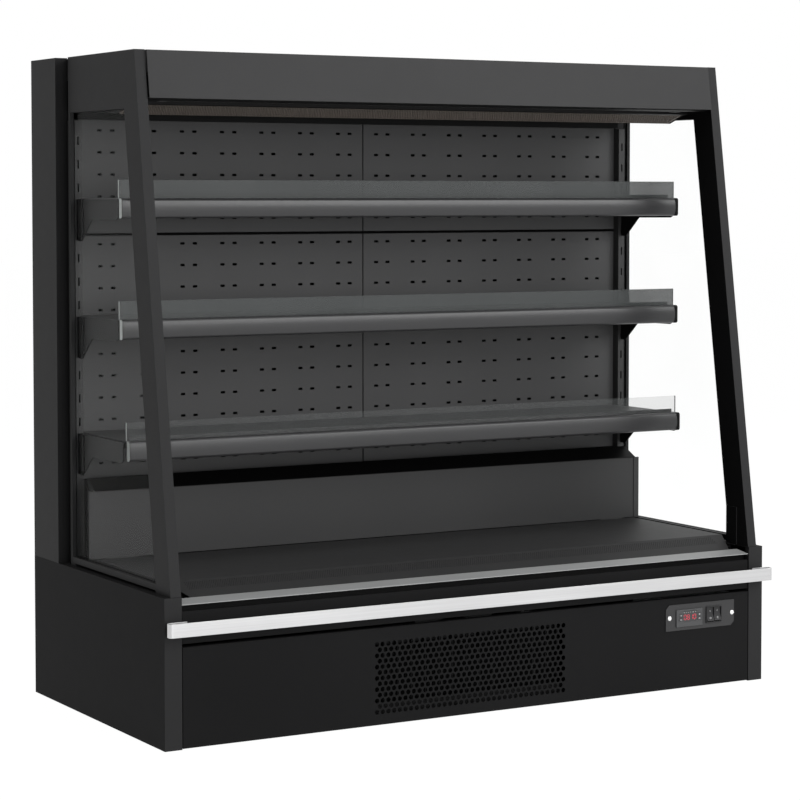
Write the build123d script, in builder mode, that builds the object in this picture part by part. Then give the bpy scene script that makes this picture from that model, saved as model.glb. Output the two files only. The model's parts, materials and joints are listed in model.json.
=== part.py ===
from build123d import *
import os
from math import cos, hypot, radians, sin

os.makedirs("parts", exist_ok=True)

# An open multideck display fridge. X runs along its front, Y from the front to the back and Z up.
# The origin is on the floor, in the middle of the outline with the bumper.
# A depth is the distance behind the front face of the base.

# Driving sizes in mm
WIDTH = 1330
HEIGHT = 1248
BODY_DEPTH = 616
BASE_HEIGHT = 273
BUMPER_REACH = 31
SHELF_COUNT = 3
SHELF_PITCH = 225

# Sheet, glass and fits
SHEET = 1.5
STOUT = 2
PANE = 4
FIT = 0.3

# Widths, as distances from the middle plane
HALF = WIDTH / 2
SIDE_INNER = HALF - SHEET
FRAME_OUT = HALF - 13.3
FRAME_IN = FRAME_OUT - 20.7
UPRIGHT_OUT = HALF - 25
UPRIGHT_IN = UPRIGHT_OUT - 15
FACE_HALF = FRAME_IN - 1.5
WELL_OUT = FRAME_IN - 3
WELL_IN = WELL_OUT - 28
LEDGE_IN = WELL_OUT + FIT
PANE_IN = UPRIGHT_OUT
BRACKET_IN = UPRIGHT_OUT - 8

# Depths behind the base front
FRONT = (BUMPER_REACH - BODY_DEPTH) / 2
WALL = BODY_DEPTH - 96
LINER = WALL - 47
FRAME_REAR = LINER - 13
UPRIGHT_FRONT = LINER - 18
CHEEK_FRONT = BODY_DEPTH - 125
RISER = LINER - 75
DECK_FRONT = 86
DECK_REAR = RISER - 2
RIM = 15

# Levels
BENCH = 14
COOLER_FLOOR = BASE_HEIGHT - 68
WELL_FLOOR = COOLER_FLOOR + 27
WELL_TOP = BASE_HEIGHT - 5.3
BEAM_TOP = BASE_HEIGHT - 13
PANEL_BOTTOM = 1.5
PANEL_TOP = BASE_HEIGHT - 90
DECK_TOP = BASE_HEIGHT + 16
RAIL_TOP = BASE_HEIGHT + 17
RISER_TOP = DECK_TOP + 131
LINER_BOTTOM = RISER_TOP + 17
LINER_TOP = HEIGHT - 118
LINER_SEAM = LINER_TOP - 221
WINDOW_TOP = HEIGHT - 106
ROOF_TOP = HEIGHT - 2
ROOF_UNDER = ROOF_TOP - 40
FASCIA_BOTTOM = HEIGHT - 88
LOWEST_SHELF = BASE_HEIGHT + 256

# Inclined posts
POST_FOOT = 2.6
POST_HEAD = 149
POST_DEPTH = 62
STILE = 9
LEAN = (POST_HEAD - POST_FOOT) / (HEIGHT - BASE_HEIGHT)

# Condensing unit in the base
GRILLE_X = (-0.352 * HALF, 0.272 * HALF)
GRILLE_Z = (24.5, PANEL_TOP - 29)
CONDENSER_FAN = COOLER_FLOOR - BENCH - 19
CONDENSER_FAN_X = sum(GRILLE_X) / 2
CONDENSER_FAN_Z = BENCH + CONDENSER_FAN / 2
COMPRESSOR = (0.466 * HALF, BODY_DEPTH - 256)
SHELL_HEIGHT = COOLER_FLOOR - BENCH - 49

# Controls, all on one level of the front panel
CONTROL_LEVEL = PANEL_TOP - 40.8
CONTROL_EDGE = HALF - 72.4
SWITCH_X = CONTROL_EDGE - 51.35


def profile_plane(x=0):
    """Side view plane: depth behind the base front to the right, height up."""
    return Plane(origin=(x, FRONT, 0), x_dir=(0, 1, 0), z_dir=(1, 0, 0))


def plan_plane(z):
    """Plan view plane: X to the right, depth behind the base front up."""
    return Plane(origin=(0, FRONT, z), x_dir=(1, 0, 0), z_dir=(0, 0, 1))


def front_plane(depth):
    """Front view plane: X to the right, height up; negative amounts go to the back."""
    return Plane(origin=(0, FRONT + depth, 0), x_dir=(1, 0, 0), z_dir=(0, -1, 0))


def sheet_section(points, thickness=SHEET, side=Side.RIGHT):
    """Section of a bent sheet, its thickness to one side of the path."""
    with BuildSketch() as section:
        with BuildLine():
            Polyline(*points)
            offset(amount=thickness, side=side, kind=Kind.INTERSECTION)
        make_face()
    return section.sketch


def block(x, depth, z, mode=Mode.ADD):
    """Block between two X, two depths and two heights."""
    centre = (sum(x) / 2, FRONT + sum(depth) / 2, sum(z) / 2)
    with Locations(centre):
        Box(x[1] - x[0], depth[1] - depth[0], z[1] - z[0], mode=mode)


def pair_of_blocks(x, depth, z, mode=Mode.ADD):
    """The same block on the right and on the left."""
    block(x, depth, z, mode)
    block((-x[1], -x[0]), depth, z, mode)


def post_front(z):
    """Depth of the inclined front edge of the posts at a height."""
    return POST_FOOT + LEAN * (z - BASE_HEIGHT)


def window_corners(margin, sill):
    """Opening of a side frame, grown by a margin and, at its foot, by the sill."""
    low = RAIL_TOP - sill
    high = WINDOW_TOP + margin
    reveal = POST_DEPTH - margin * hypot(1, LEAN)
    rear = FRAME_REAR - STILE + margin
    return [
        (post_front(low) + reveal, low),
        (post_front(high) + reveal, high),
        (rear, high),
        (rear, low),
    ]


def fan_blade(root, tip, chord, pitch):
    """Pitched blade which widens from the hub to the tip, for a rotor about Z."""
    lean = radians(pitch)
    pitched = Plane(origin=(0, 0, 0), x_dir=(1, 0, 0), z_dir=(0, -sin(lean), cos(lean)))
    with BuildPart() as blade:
        with BuildSketch(pitched):
            outline = [
                (root, -chord * 0.35),
                (tip - 4, -chord * 0.6),
                (tip, -chord * 0.4),
                (tip, chord * 0.35),
                (root, chord * 0.35),
            ]
            Polygon(*outline, align=None)
        extrude(amount=1, both=True)
    return blade.part


def fan_housing(x, z, front, size, depth, arm_length):
    """Square fan housing with its bore and, on four arms, the motor and its shaft."""
    with BuildSketch(front_plane(front)) as ring:
        with Locations((x, z)):
            Rectangle(size, size)
            Circle(size * 0.46, mode=Mode.SUBTRACT)
    extrude(ring.sketch, amount=-depth)
    with BuildSketch(front_plane(front + depth - 5)) as arms:
        with Locations((x, z)):
            Rectangle(arm_length, 5, rotation=45)
            Rectangle(arm_length, 5, rotation=-45)
            Circle(size * 0.15)
    extrude(arms.sketch, amount=-5)
    with BuildSketch(front_plane(front + 5)) as shaft:
        with Locations((x, z)):
            Circle(3)
    extrude(shaft.sketch, amount=5 - depth)


# Base: the floor pan on its skids, with a front upstand behind the panel.
with BuildPart() as base_tray:
    block((-SIDE_INNER, SIDE_INNER), (RIM, BODY_DEPTH - SHEET), (BENCH - STOUT, BENCH))
    block((-SIDE_INNER, SIDE_INNER), (RIM, RIM + STOUT), (BENCH - STOUT, 40))
    pair_of_blocks((HALF - 110, HALF - 50), (20, BODY_DEPTH - 20), (0, BENCH - STOUT))
base_tray.part.label = "base_tray"
export_step(base_tray.part, "parts/base_tray.step")

# Side sheet, folded round the front corner and the rear corner, with the ledge for the frame.
with BuildPart() as base_side_left:
    with BuildSketch(plan_plane(0)):
        corners = [
            (-FRAME_IN, 12),
            (-FRAME_IN, 0),
            (-HALF, 0),
            (-HALF, BODY_DEPTH),
            (-UPRIGHT_OUT, BODY_DEPTH),
        ]
        add(sheet_section(corners))
    extrude(amount=BASE_HEIGHT)
    with BuildSketch(plan_plane(BASE_HEIGHT - SHEET)):
        ledge = [
            (-HALF, 0),
            (-FRAME_IN, 0),
            (-FRAME_IN, 45),
            (-LEDGE_IN, 45),
            (-LEDGE_IN, WALL - FIT),
            (-UPRIGHT_OUT - FIT, WALL - FIT),
            (-UPRIGHT_OUT - FIT, BODY_DEPTH),
            (-HALF, BODY_DEPTH),
        ]
        Polygon(*ledge, align=None)
    extrude(amount=SHEET)
    block((-LEDGE_IN - SHEET, -LEDGE_IN), (60, WALL - 1), (BASE_HEIGHT - 18, BASE_HEIGHT))
base_side_left.part.label = "base_side_left"
export_step(base_side_left.part, "parts/base_side_left.step")

with BuildPart() as base_side_right:
    mirror(base_side_left.part, about=Plane.YZ)
base_side_right.part.label = "base_side_right"
export_step(base_side_right.part, "parts/base_side_right.step")

# Switch sizes: half heights and half widths of the rocker, its pocket, the body and the bezel.
ROCKER_TALL = 13.4
POCKET_TALL = 14.6
BODY_TALL = 15.7
BEZEL_TALL = 16.85
BEZEL_WIDE = 19.25
BODY_WIDE = 18.3
ROCKER_WIDTH = 16
DIVIDER = 1.2
SWITCH_Z = CONTROL_LEVEL + 1.9
PIVOT_DEPTH = 2
ROCKER_TILT = 8

# Controller sizes
CONTROLLER_X = (CONTROL_EDGE - 144.6, CONTROL_EDGE - 80.6)
CONTROLLER_Z = (CONTROL_LEVEL - 17.2, CONTROL_LEVEL + 17.3)
COLLAR = 3
SCREW_X = (CONTROL_EDGE - 160.1, CONTROL_EDGE - 5.6)
SCREW_Z = CONTROL_LEVEL + 2


def control_cutouts():
    """Openings for the controller, the switch and the screws, as a flat shape."""
    with BuildSketch() as openings:
        width = CONTROLLER_X[1] - CONTROLLER_X[0] - 2 * COLLAR
        height = CONTROLLER_Z[1] - CONTROLLER_Z[0] - 2 * COLLAR
        with Locations((sum(CONTROLLER_X) / 2, sum(CONTROLLER_Z) / 2)):
            Rectangle(width, height)
        with Locations((SWITCH_X, SWITCH_Z)):
            Rectangle(2 * BODY_WIDE + 2 * FIT, 2 * BODY_TALL + 2 * FIT)
        with Locations(*[(x, SCREW_Z) for x in SCREW_X]):
            Circle(2.3)
    return openings.sketch


# Service panel: a shallow tray with the condenser grille and the openings of the controls.
HOLE_PITCH = 30.5
HOLE_RADIUS = 11.5
with BuildPart() as front_panel:
    with BuildSketch(front_plane(0)):
        with Locations((0, (PANEL_BOTTOM + PANEL_TOP) / 2)):
            Rectangle(2 * FACE_HALF, PANEL_TOP - PANEL_BOTTOM)
    extrude(amount=-RIM)
    offset(amount=-SHEET, openings=front_panel.faces().sort_by(Axis.Y)[-1])
    with BuildSketch(front_plane(0)):
        row_pitch = HOLE_PITCH * 0.866
        rows = int((GRILLE_Z[1] - GRILLE_Z[0] - 2 * HOLE_RADIUS) / row_pitch) + 1
        columns = int((GRILLE_X[1] - GRILLE_X[0] - 2 * HOLE_RADIUS) / HOLE_PITCH) + 1
        with Locations((sum(GRILLE_X) / 2, sum(GRILLE_Z) / 2)):
            for row in range(rows):
                lift = (row - (rows - 1) / 2) * row_pitch
                with Locations((0, lift)):
                    with GridLocations(HOLE_PITCH, 1, columns - row % 2, 1):
                        RegularPolygon(HOLE_RADIUS, 6, rotation=30)
        add(control_cutouts())
    extrude(amount=-SHEET, mode=Mode.SUBTRACT)
front_panel.part.label = "front_panel"
export_step(front_panel.part, "parts/front_panel.step")

# Beam over the panel: plain band, then the shadow groove and the seat of the lip.
with BuildPart() as front_beam:
    with BuildSketch(profile_plane()):
        band = [
            (22, PANEL_TOP + 6),
            (2, PANEL_TOP + 6),
            (2, BEAM_TOP - 13),
            (14, BEAM_TOP - 13),
            (14, BEAM_TOP),
            (45, BEAM_TOP),
        ]
        add(sheet_section(band))
    extrude(amount=FACE_HALF, both=True)
front_beam.part.label = "front_beam"
export_step(front_beam.part, "parts/front_beam.step")

# Bumper: one flat strip bent round both corners, open above and below.
BUMPER_Z = (BASE_HEIGHT - 66, BASE_HEIGHT - 41)
BUMPER_HALF = HALF + 3
LEG_DEPTH = -14
with BuildPart() as bumper_bar:
    with BuildSketch(plan_plane(BUMPER_Z[0])):
        with BuildLine():
            FilletPolyline(
                (-BUMPER_HALF + 40, LEG_DEPTH),
                (-BUMPER_HALF, LEG_DEPTH),
                (-BUMPER_HALF, -BUMPER_REACH),
                (BUMPER_HALF, -BUMPER_REACH),
                (BUMPER_HALF, LEG_DEPTH),
                (BUMPER_HALF - 40, LEG_DEPTH),
                radius=6,
            )
            offset(amount=STOUT, side=Side.LEFT)
        make_face()
    extrude(amount=BUMPER_Z[1] - BUMPER_Z[0])
bumper_bar.part.label = "bumper_bar"
export_step(bumper_bar.part, "parts/bumper_bar.step")


def hat_section(x, seat, crown):
    """Hat shaped stand-off in plan, from its seat on the base to its crown at the bar."""
    path = [
        (x - 12, seat - STOUT),
        (x - 6, seat - STOUT),
        (x - 6, crown),
        (x + 6, crown),
        (x + 6, seat - STOUT),
        (x + 12, seat - STOUT),
    ]
    return sheet_section(path, STOUT, Side.LEFT)


with BuildPart() as bumper_brackets:
    with BuildSketch(plan_plane(BUMPER_Z[0] + 3)):
        for x in (-HALF + 17, HALF - 17):
            add(hat_section(x, 0, LEG_DEPTH))
        for x in (-HALF / 3, HALF / 3):
            add(hat_section(x, 2, STOUT - BUMPER_REACH))
    extrude(amount=19)
bumper_brackets.part.label = "bumper_brackets"
export_step(bumper_brackets.part, "parts/bumper_brackets.step")

# Stainless nose on the beam, mitred at both ends.
LIP_HALF = FRAME_IN - 0.3
with BuildPart() as front_lip:
    with BuildSketch(profile_plane()):
        nose = [
            (1.3, BASE_HEIGHT - 17.5),
            (1.3, BASE_HEIGHT - 13.5),
            (24.8, BASE_HEIGHT - 5.7),
            (24.8, BEAM_TOP),
        ]
        add(sheet_section(nose))
    extrude(amount=LIP_HALF, both=True)
    with BuildSketch(plan_plane(BASE_HEIGHT - 20)):
        mitre = [(LIP_HALF, 1), (LIP_HALF + 9, 1), (LIP_HALF + 9, 26), (LIP_HALF - 11.6, 26)]
        Polygon(*mitre, align=None)
        mirror(about=Plane.YZ)
    extrude(amount=20, mode=Mode.SUBTRACT)
front_lip.part.label = "front_lip"
export_step(front_lip.part, "parts/front_lip.step")

# Return grille: inclined sheet with two rows of slots, on end plates over the side walls.
GRILLE_HALF = WELL_OUT - 1
GRILLE_FOOT = (27, BASE_HEIGHT - 6)
GRILLE_HEAD = (DECK_FRONT - 1, DECK_TOP)
RETURN_SLOTS = 14
with BuildPart() as return_grille:
    with BuildSketch(profile_plane()):
        bend = [(27, BEAM_TOP), GRILLE_FOOT, GRILLE_HEAD, (DECK_FRONT - 1, DECK_TOP - 14)]
        add(sheet_section(bend))
    extrude(amount=GRILLE_HALF, both=True)
    for x in (-GRILLE_HALF, GRILLE_HALF - SHEET):
        with BuildSketch(profile_plane(x)):
            rear = DECK_FRONT - 2
            cheek = [(57, WELL_TOP), (rear, WELL_TOP), (rear, DECK_TOP - 1), (57, DECK_TOP - 11.2)]
            Polygon(*cheek, align=None)
        extrude(amount=SHEET)
    rise = GRILLE_HEAD[1] - GRILLE_FOOT[1]
    run = GRILLE_HEAD[0] - GRILLE_FOOT[0]
    middle = (0, FRONT + GRILLE_FOOT[0] + 0.69 * run, GRILLE_FOOT[1] + 0.69 * rise)
    with BuildSketch(Plane(origin=middle, x_dir=(1, 0, 0), z_dir=(0, -rise, run))):
        slot_pitch = (2 * GRILLE_HALF - 20) / RETURN_SLOTS
        with GridLocations(slot_pitch, 15, RETURN_SLOTS, 2):
            Rectangle(slot_pitch - 12, 7)
    extrude(amount=-2 * SHEET, mode=Mode.SUBTRACT)
return_grille.part.label = "return_grille"
export_step(return_grille.part, "parts/return_grille.step")

# Loose deck, a shallow tray turned over, which stands on the side walls of the well.
with BuildPart() as deck_pan:
    with BuildSketch(plan_plane(WELL_TOP)):
        with Locations((0, (DECK_FRONT + DECK_REAR) / 2)):
            Rectangle(2 * WELL_OUT - 2, DECK_REAR - DECK_FRONT)
    extrude(amount=DECK_TOP - WELL_TOP)
    offset(amount=-SHEET, openings=deck_pan.faces().sort_by(Axis.Z)[0])
deck_pan.part.label = "deck_pan"
export_step(deck_pan.part, "parts/deck_pan.step")

# Insulated well under the deck and the insulated rear wall above it, foamed in one piece.
DRAIN_X = 235 - HALF
with BuildPart() as insulated_tub:
    block((-SIDE_INNER, SIDE_INNER), (36, BODY_DEPTH - SHEET), (COOLER_FLOOR, WELL_FLOOR))
    block((-WELL_OUT, WELL_OUT), (36, 56), (WELL_FLOOR, BEAM_TOP - SHEET))
    pair_of_blocks((WELL_IN, WELL_OUT), (56, WALL), (WELL_FLOOR, WELL_TOP))
    rear_half = UPRIGHT_OUT - FIT
    block((-rear_half, rear_half), (WALL, BODY_DEPTH), (COOLER_FLOOR, ROOF_UNDER))
    with Locations((DRAIN_X, FRONT + 200, WELL_FLOOR)):
        CounterBoreHole(10, 22, 6)
insulated_tub.part.label = "insulated_tub"
export_step(insulated_tub.part, "parts/insulated_tub.step")

# Cover of the machine compartment at the back: louvre slots and the hole of the cable gland.
with BuildPart() as rear_cover:
    with BuildSketch(front_plane(BODY_DEPTH - SHEET)):
        with Locations((0, (STOUT + COOLER_FLOOR - FIT) / 2)):
            Rectangle(2 * (UPRIGHT_OUT - FIT), COOLER_FLOOR - FIT - STOUT)
        with Locations((COMPRESSOR[0], COOLER_FLOOR - 90), (CONDENSER_FAN_X, COOLER_FLOOR - 90)):
            with GridLocations(1, 14, 1, 5):
                Rectangle(180, 6, mode=Mode.SUBTRACT)
        with Locations((-UPRIGHT_OUT + 90, 60)):
            Circle(9, mode=Mode.SUBTRACT)
    extrude(amount=-SHEET)
rear_cover.part.label = "rear_cover"
export_step(rear_cover.part, "parts/rear_cover.step")

# Column cheek: sheet folded round both corners, with a top cap.
with BuildPart() as column_cheek_left:
    with BuildSketch(plan_plane(BASE_HEIGHT)):
        fold = [
            (-UPRIGHT_OUT, CHEEK_FRONT),
            (-HALF, CHEEK_FRONT),
            (-HALF, BODY_DEPTH),
            (-UPRIGHT_OUT, BODY_DEPTH),
        ]
        add(sheet_section(fold))
    extrude(amount=HEIGHT - BASE_HEIGHT)
    block((-HALF, -UPRIGHT_OUT), (CHEEK_FRONT, BODY_DEPTH), (ROOF_TOP, HEIGHT))
column_cheek_left.part.label = "column_cheek_left"
export_step(column_cheek_left.part, "parts/column_cheek_left.step")

with BuildPart() as column_cheek_right:
    mirror(column_cheek_left.part, about=Plane.YZ)
column_cheek_right.part.label = "column_cheek_right"
export_step(column_cheek_right.part, "parts/column_cheek_right.step")

# Rear liner: four pans side by side and over each other, with pairs of air slots.
PAN_DEPTH = 25
SLOT_ROW_PITCH = 212.5
SLOT_PAIRS = 7
FIRST_SLOT = 31
PAIR_STEP = 27
SLOT_PAIR_PITCH = (UPRIGHT_IN - 44 - PAIR_STEP - FIRST_SLOT) / (SLOT_PAIRS - 1)
with BuildPart() as back_panels:
    pan_edges = [(LINER_BOTTOM, LINER_SEAM - 2.5), (LINER_SEAM + 2.5, LINER_TOP)]
    for low, high in pan_edges:
        pair_of_blocks((1, UPRIGHT_IN - FIT), (LINER, LINER + PAN_DEPTH), (low, high))
        hollow_x = (1 + SHEET, UPRIGHT_IN - FIT - SHEET)
        hollow_z = (low + SHEET, high - SHEET)
        behind = (LINER + SHEET, LINER + PAN_DEPTH)
        pair_of_blocks(hollow_x, behind, hollow_z, Mode.SUBTRACT)
    with BuildSketch(front_plane(LINER)):
        for low, high in pan_edges:
            slot_rows = int((high - low - 40) / SLOT_ROW_PITCH) + 1
            centre_z = high - 20 - (slot_rows - 1) * SLOT_ROW_PITCH / 2
            for step in (0, PAIR_STEP):
                centre_x = FIRST_SLOT + step + (SLOT_PAIRS - 1) * SLOT_PAIR_PITCH / 2
                with Locations((centre_x, centre_z), (-centre_x, centre_z)):
                    with GridLocations(SLOT_PAIR_PITCH, SLOT_ROW_PITCH, SLOT_PAIRS, slot_rows):
                        Rectangle(10, 5)
    extrude(amount=-SHEET, mode=Mode.SUBTRACT)
back_panels.part.label = "back_panels"
export_step(back_panels.part, "parts/back_panels.step")

# Slotted uprights: channels on the rear wall which take the hooks of the brackets.
HOOK_STEP = SHELF_PITCH / 5
HOOK_DROP = 74
UPRIGHT_TOP = LINER_TOP - 2
TOP_SHELF = LOWEST_SHELF + (SHELF_COUNT - 1) * SHELF_PITCH
FIRST_HOOK = LOWEST_SHELF - HOOK_DROP
with BuildPart() as slotted_uprights:
    with BuildSketch(plan_plane(BASE_HEIGHT)):
        channel = [
            (UPRIGHT_IN, WALL),
            (UPRIGHT_IN, UPRIGHT_FRONT),
            (UPRIGHT_OUT, UPRIGHT_FRONT),
            (UPRIGHT_OUT, WALL),
        ]
        add(sheet_section(channel, STOUT, Side.LEFT))
        mirror(about=Plane.YZ)
    extrude(amount=UPRIGHT_TOP - BASE_HEIGHT)
    with BuildSketch(front_plane(UPRIGHT_FRONT)):
        slot_count = int((UPRIGHT_TOP - 20 - FIRST_HOOK) / HOOK_STEP) + 1
        slot_middle = FIRST_HOOK + 4 + (slot_count - 1) * HOOK_STEP / 2
        slot_x = BRACKET_IN + STOUT / 2
        with Locations((slot_x, slot_middle), (-slot_x, slot_middle)):
            with GridLocations(1, HOOK_STEP, 1, slot_count):
                Rectangle(STOUT + 1.2, 16)
    extrude(amount=-STOUT, mode=Mode.SUBTRACT)
slotted_uprights.part.label = "slotted_uprights"
export_step(slotted_uprights.part, "parts/slotted_uprights.step")

# Riser behind the deck: face sheet on two legs, with sealing flanges against the panes.
with BuildPart() as riser_panel:
    with BuildSketch(profile_plane()):
        face = [(RISER, DECK_TOP + 1), (RISER, RISER_TOP), (RISER + 12, RISER_TOP)]
        add(sheet_section(face))
    extrude(amount=WELL_OUT, both=True)
    flange_z = (RAIL_TOP + FIT, RISER_TOP)
    pair_of_blocks((WELL_OUT - 1, PANE_IN - FIT), (RISER - SHEET, RISER), flange_z)
    leg_x = (WELL_IN - 60, WELL_IN - 2)
    pair_of_blocks(leg_x, (RISER, RISER + SHEET), (WELL_FLOOR, DECK_TOP + 1))
riser_panel.part.label = "riser_panel"
export_step(riser_panel.part, "parts/riser_panel.step")

# Air guide over the riser; its upright run is the fan plate in front of the evaporator.
FAN_X = 0.45 * HALF
FAN_Z = WELL_FLOOR + 68
FAN_SIZE = 119
FAN_DEPTH = 25
GUIDE_REAR = RISER + 35
with BuildPart() as air_guide:
    with BuildSketch(profile_plane()):
        bend = [
            (RISER - 5, RISER_TOP + 1),
            (GUIDE_REAR, RISER_TOP + 21),
            (GUIDE_REAR, WELL_FLOOR),
        ]
        add(sheet_section(bend))
    extrude(amount=WELL_OUT, both=True)
    for x in (-WELL_OUT, WELL_OUT - SHEET):
        with BuildSketch(profile_plane(x)):
            gusset = [
                (RISER, RISER_TOP + 2),
                (RISER + 25, RISER_TOP - 2),
                (GUIDE_REAR - 1, RISER_TOP + 11),
                (GUIDE_REAR - 1, RISER_TOP + 19.5),
            ]
            Polygon(*gusset, align=None)
        extrude(amount=SHEET)
    beside = (GUIDE_REAR - 10, GUIDE_REAR + 5)
    below = (WELL_FLOOR - 1, WELL_TOP + FIT)
    pair_of_blocks((WELL_IN - 2, WELL_OUT + 5), beside, below, Mode.SUBTRACT)
    with BuildSketch(front_plane(GUIDE_REAR - SHEET)):
        with Locations((-FAN_X, FAN_Z), (FAN_X, FAN_Z)):
            Circle(FAN_SIZE * 0.46)
    extrude(amount=-SHEET, mode=Mode.SUBTRACT)
air_guide.part.label = "air_guide"
export_step(air_guide.part, "parts/air_guide.step")

# Evaporator fans on the back of the fan plate
with BuildPart() as evaporator_fan_frames:
    fan_housing(-FAN_X, FAN_Z, GUIDE_REAR, FAN_SIZE, FAN_DEPTH, FAN_SIZE * 0.96)
    fan_housing(FAN_X, FAN_Z, GUIDE_REAR, FAN_SIZE, FAN_DEPTH, FAN_SIZE * 0.96)
evaporator_fan_frames.part.label = "evaporator_fan_frames"
export_step(evaporator_fan_frames.part, "parts/evaporator_fan_frames.step")


def rotor_plane(x, depth, z):
    """Plane across a fan's axis, looking to the front."""
    return Plane(origin=(x, FRONT + depth, z), x_dir=(1, 0, 0), z_dir=(0, -1, 0))


small_blade = fan_blade(14, FAN_SIZE * 0.43, 22, 28)
small_rotor_depth = GUIDE_REAR + 10.5

with BuildPart(rotor_plane(-FAN_X, small_rotor_depth, FAN_Z)) as evaporator_fan_rotor_left:
    Cylinder(17, 12)
    with PolarLocations(0, 5):
        add(small_blade)
    Cylinder(3 + FIT, 16, mode=Mode.SUBTRACT)
evaporator_fan_rotor_left.part.label = "evaporator_fan_rotor_left"
export_step(evaporator_fan_rotor_left.part, "parts/evaporator_fan_rotor_left.step")

with BuildPart(rotor_plane(FAN_X, small_rotor_depth, FAN_Z)) as evaporator_fan_rotor_right:
    Cylinder(17, 12)
    with PolarLocations(0, 5):
        add(small_blade)
    Cylinder(3 + FIT, 16, mode=Mode.SUBTRACT)
evaporator_fan_rotor_right.part.label = "evaporator_fan_rotor_right"
export_step(evaporator_fan_rotor_right.part, "parts/evaporator_fan_rotor_right.step")


def finned_coil(x, depth, z, core, fin_pitch, foot):
    """Coil block with upright fins, its end plates standing on the foot level."""
    block(x, core, (z[0] + 4, z[1] - 4))
    width = x[1] - x[0]
    count = int((width - 20) / fin_pitch)
    centre = (sum(x) / 2, FRONT + sum(depth) / 2, sum(z) / 2)
    with Locations(centre):
        with GridLocations(fin_pitch, 1, count, 1):
            Box(SHEET, depth[1] - depth[0], z[1] - z[0])
    for edge in (x[0], x[1] - STOUT):
        block((edge, edge + STOUT), depth, (foot, z[1] + 3))


# Evaporator behind the fans, upright in the well
with BuildPart() as evaporator:
    coil_depth = (GUIDE_REAR + FAN_DEPTH + 4, WALL - 3)
    coil_core = (coil_depth[0] + 12, coil_depth[1] - 12)
    coil_x = (40 - WELL_IN, WELL_IN - 40)
    finned_coil(coil_x, coil_depth, (WELL_FLOOR + 8, RISER_TOP - 20), coil_core, 70, WELL_FLOOR)
evaporator.part.label = "evaporator"
export_step(evaporator.part, "parts/evaporator.step")

# Roof slab, wider over the column, with a cover sheet level with the side frames
FASCIA_FOOT = post_front(FASCIA_BOTTOM) - 5
FASCIA_HEAD = post_front(HEIGHT) - 5
FASCIA_RETURN = 28
with BuildPart() as canopy_roof:
    with BuildSketch(plan_plane(ROOF_UNDER)):
        nose_depth = POST_HEAD - 2
        with Locations((0, (nose_depth + CHEEK_FRONT) / 2)):
            Rectangle(2 * FRAME_IN, CHEEK_FRONT - nose_depth)
        with Locations((0, (FRAME_REAR + CHEEK_FRONT) / 2)):
            Rectangle(2 * UPRIGHT_OUT - 1, CHEEK_FRONT - FRAME_REAR - 1)
        column_front = CHEEK_FRONT + SHEET + 0.5
        with Locations((0, (column_front + BODY_DEPTH - SHEET) / 2)):
            Rectangle(2 * SIDE_INNER, BODY_DEPTH - SHEET - column_front)
        with Locations((0, CHEEK_FRONT + 1)):
            Rectangle(2 * UPRIGHT_OUT - 1, 4)
    extrude(amount=ROOF_TOP - ROOF_UNDER)
    cover_depth = (FASCIA_HEAD + FASCIA_RETURN + FIT, BODY_DEPTH - SHEET)
    block((-FRAME_IN, FRAME_IN), cover_depth, (ROOF_TOP, HEIGHT))
canopy_roof.part.label = "canopy_roof"
export_step(canopy_roof.part, "parts/canopy_roof.step")

# Fascia, parallel to the posts and slightly proud of them
with BuildPart() as canopy_fascia:
    with BuildSketch(profile_plane()):
        board = [
            (FASCIA_FOOT + 14, FASCIA_BOTTOM),
            (FASCIA_FOOT, FASCIA_BOTTOM),
            (FASCIA_HEAD, ROOF_TOP + SHEET),
            (FASCIA_HEAD + FASCIA_RETURN, ROOF_TOP + SHEET),
        ]
        add(sheet_section(board))
    extrude(amount=FACE_HALF, both=True)
canopy_fascia.part.label = "canopy_fascia"
export_step(canopy_fascia.part, "parts/canopy_fascia.step")

# Soffit: the lamp strip in front of the air outlet and the duct sheet with the lintel behind it
STRIP_FRONT = FASCIA_FOOT + 15
OUTLET_FRONT = FASCIA_FOOT + 97
OUTLET_REAR = OUTLET_FRONT + 49
OUTLET_HIGH = FASCIA_BOTTOM - 9
OUTLET_LOW = FASCIA_BOTTOM - 25
LINTEL = LINER - 7
TROUGH_FRONT = STRIP_FRONT + 20
TROUGH_REAR = TROUGH_FRONT + 48
with BuildPart() as canopy_soffit:
    with BuildSketch(profile_plane()):
        strip = [
            (STRIP_FRONT, FASCIA_BOTTOM - 1.6),
            (TROUGH_FRONT, FASCIA_BOTTOM - 3.4),
            (TROUGH_FRONT + 4, FASCIA_BOTTOM + 15),
            (TROUGH_REAR - 4, FASCIA_BOTTOM + 15),
            (TROUGH_REAR, FASCIA_BOTTOM - 7.6),
            (OUTLET_FRONT, OUTLET_HIGH),
            (OUTLET_FRONT, ROOF_UNDER),
        ]
        add(sheet_section(strip, side=Side.LEFT))
        duct = [
            (OUTLET_REAR, OUTLET_LOW + 15),
            (OUTLET_REAR, OUTLET_LOW),
            (LINTEL, LINER_TOP + 22),
            (LINTEL, LINER_TOP),
            (LINER + PAN_DEPTH, LINER_TOP),
        ]
        add(sheet_section(duct, side=Side.LEFT))
    extrude(amount=FACE_HALF, both=True)
    for x in (-FRAME_IN, FACE_HALF):
        with BuildSketch(profile_plane(x)):
            closure = [
                (STRIP_FRONT, FASCIA_BOTTOM),
                (OUTLET_FRONT, OUTLET_HIGH),
                (OUTLET_REAR, OUTLET_LOW),
                (LINTEL, LINER_TOP + 22),
                (LINTEL, ROOF_UNDER),
                (STRIP_FRONT + 8, ROOF_UNDER),
            ]
            Polygon(*closure, align=None)
        extrude(amount=SHEET)
canopy_soffit.part.label = "canopy_soffit"
export_step(canopy_soffit.part, "parts/canopy_soffit.step")

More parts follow.
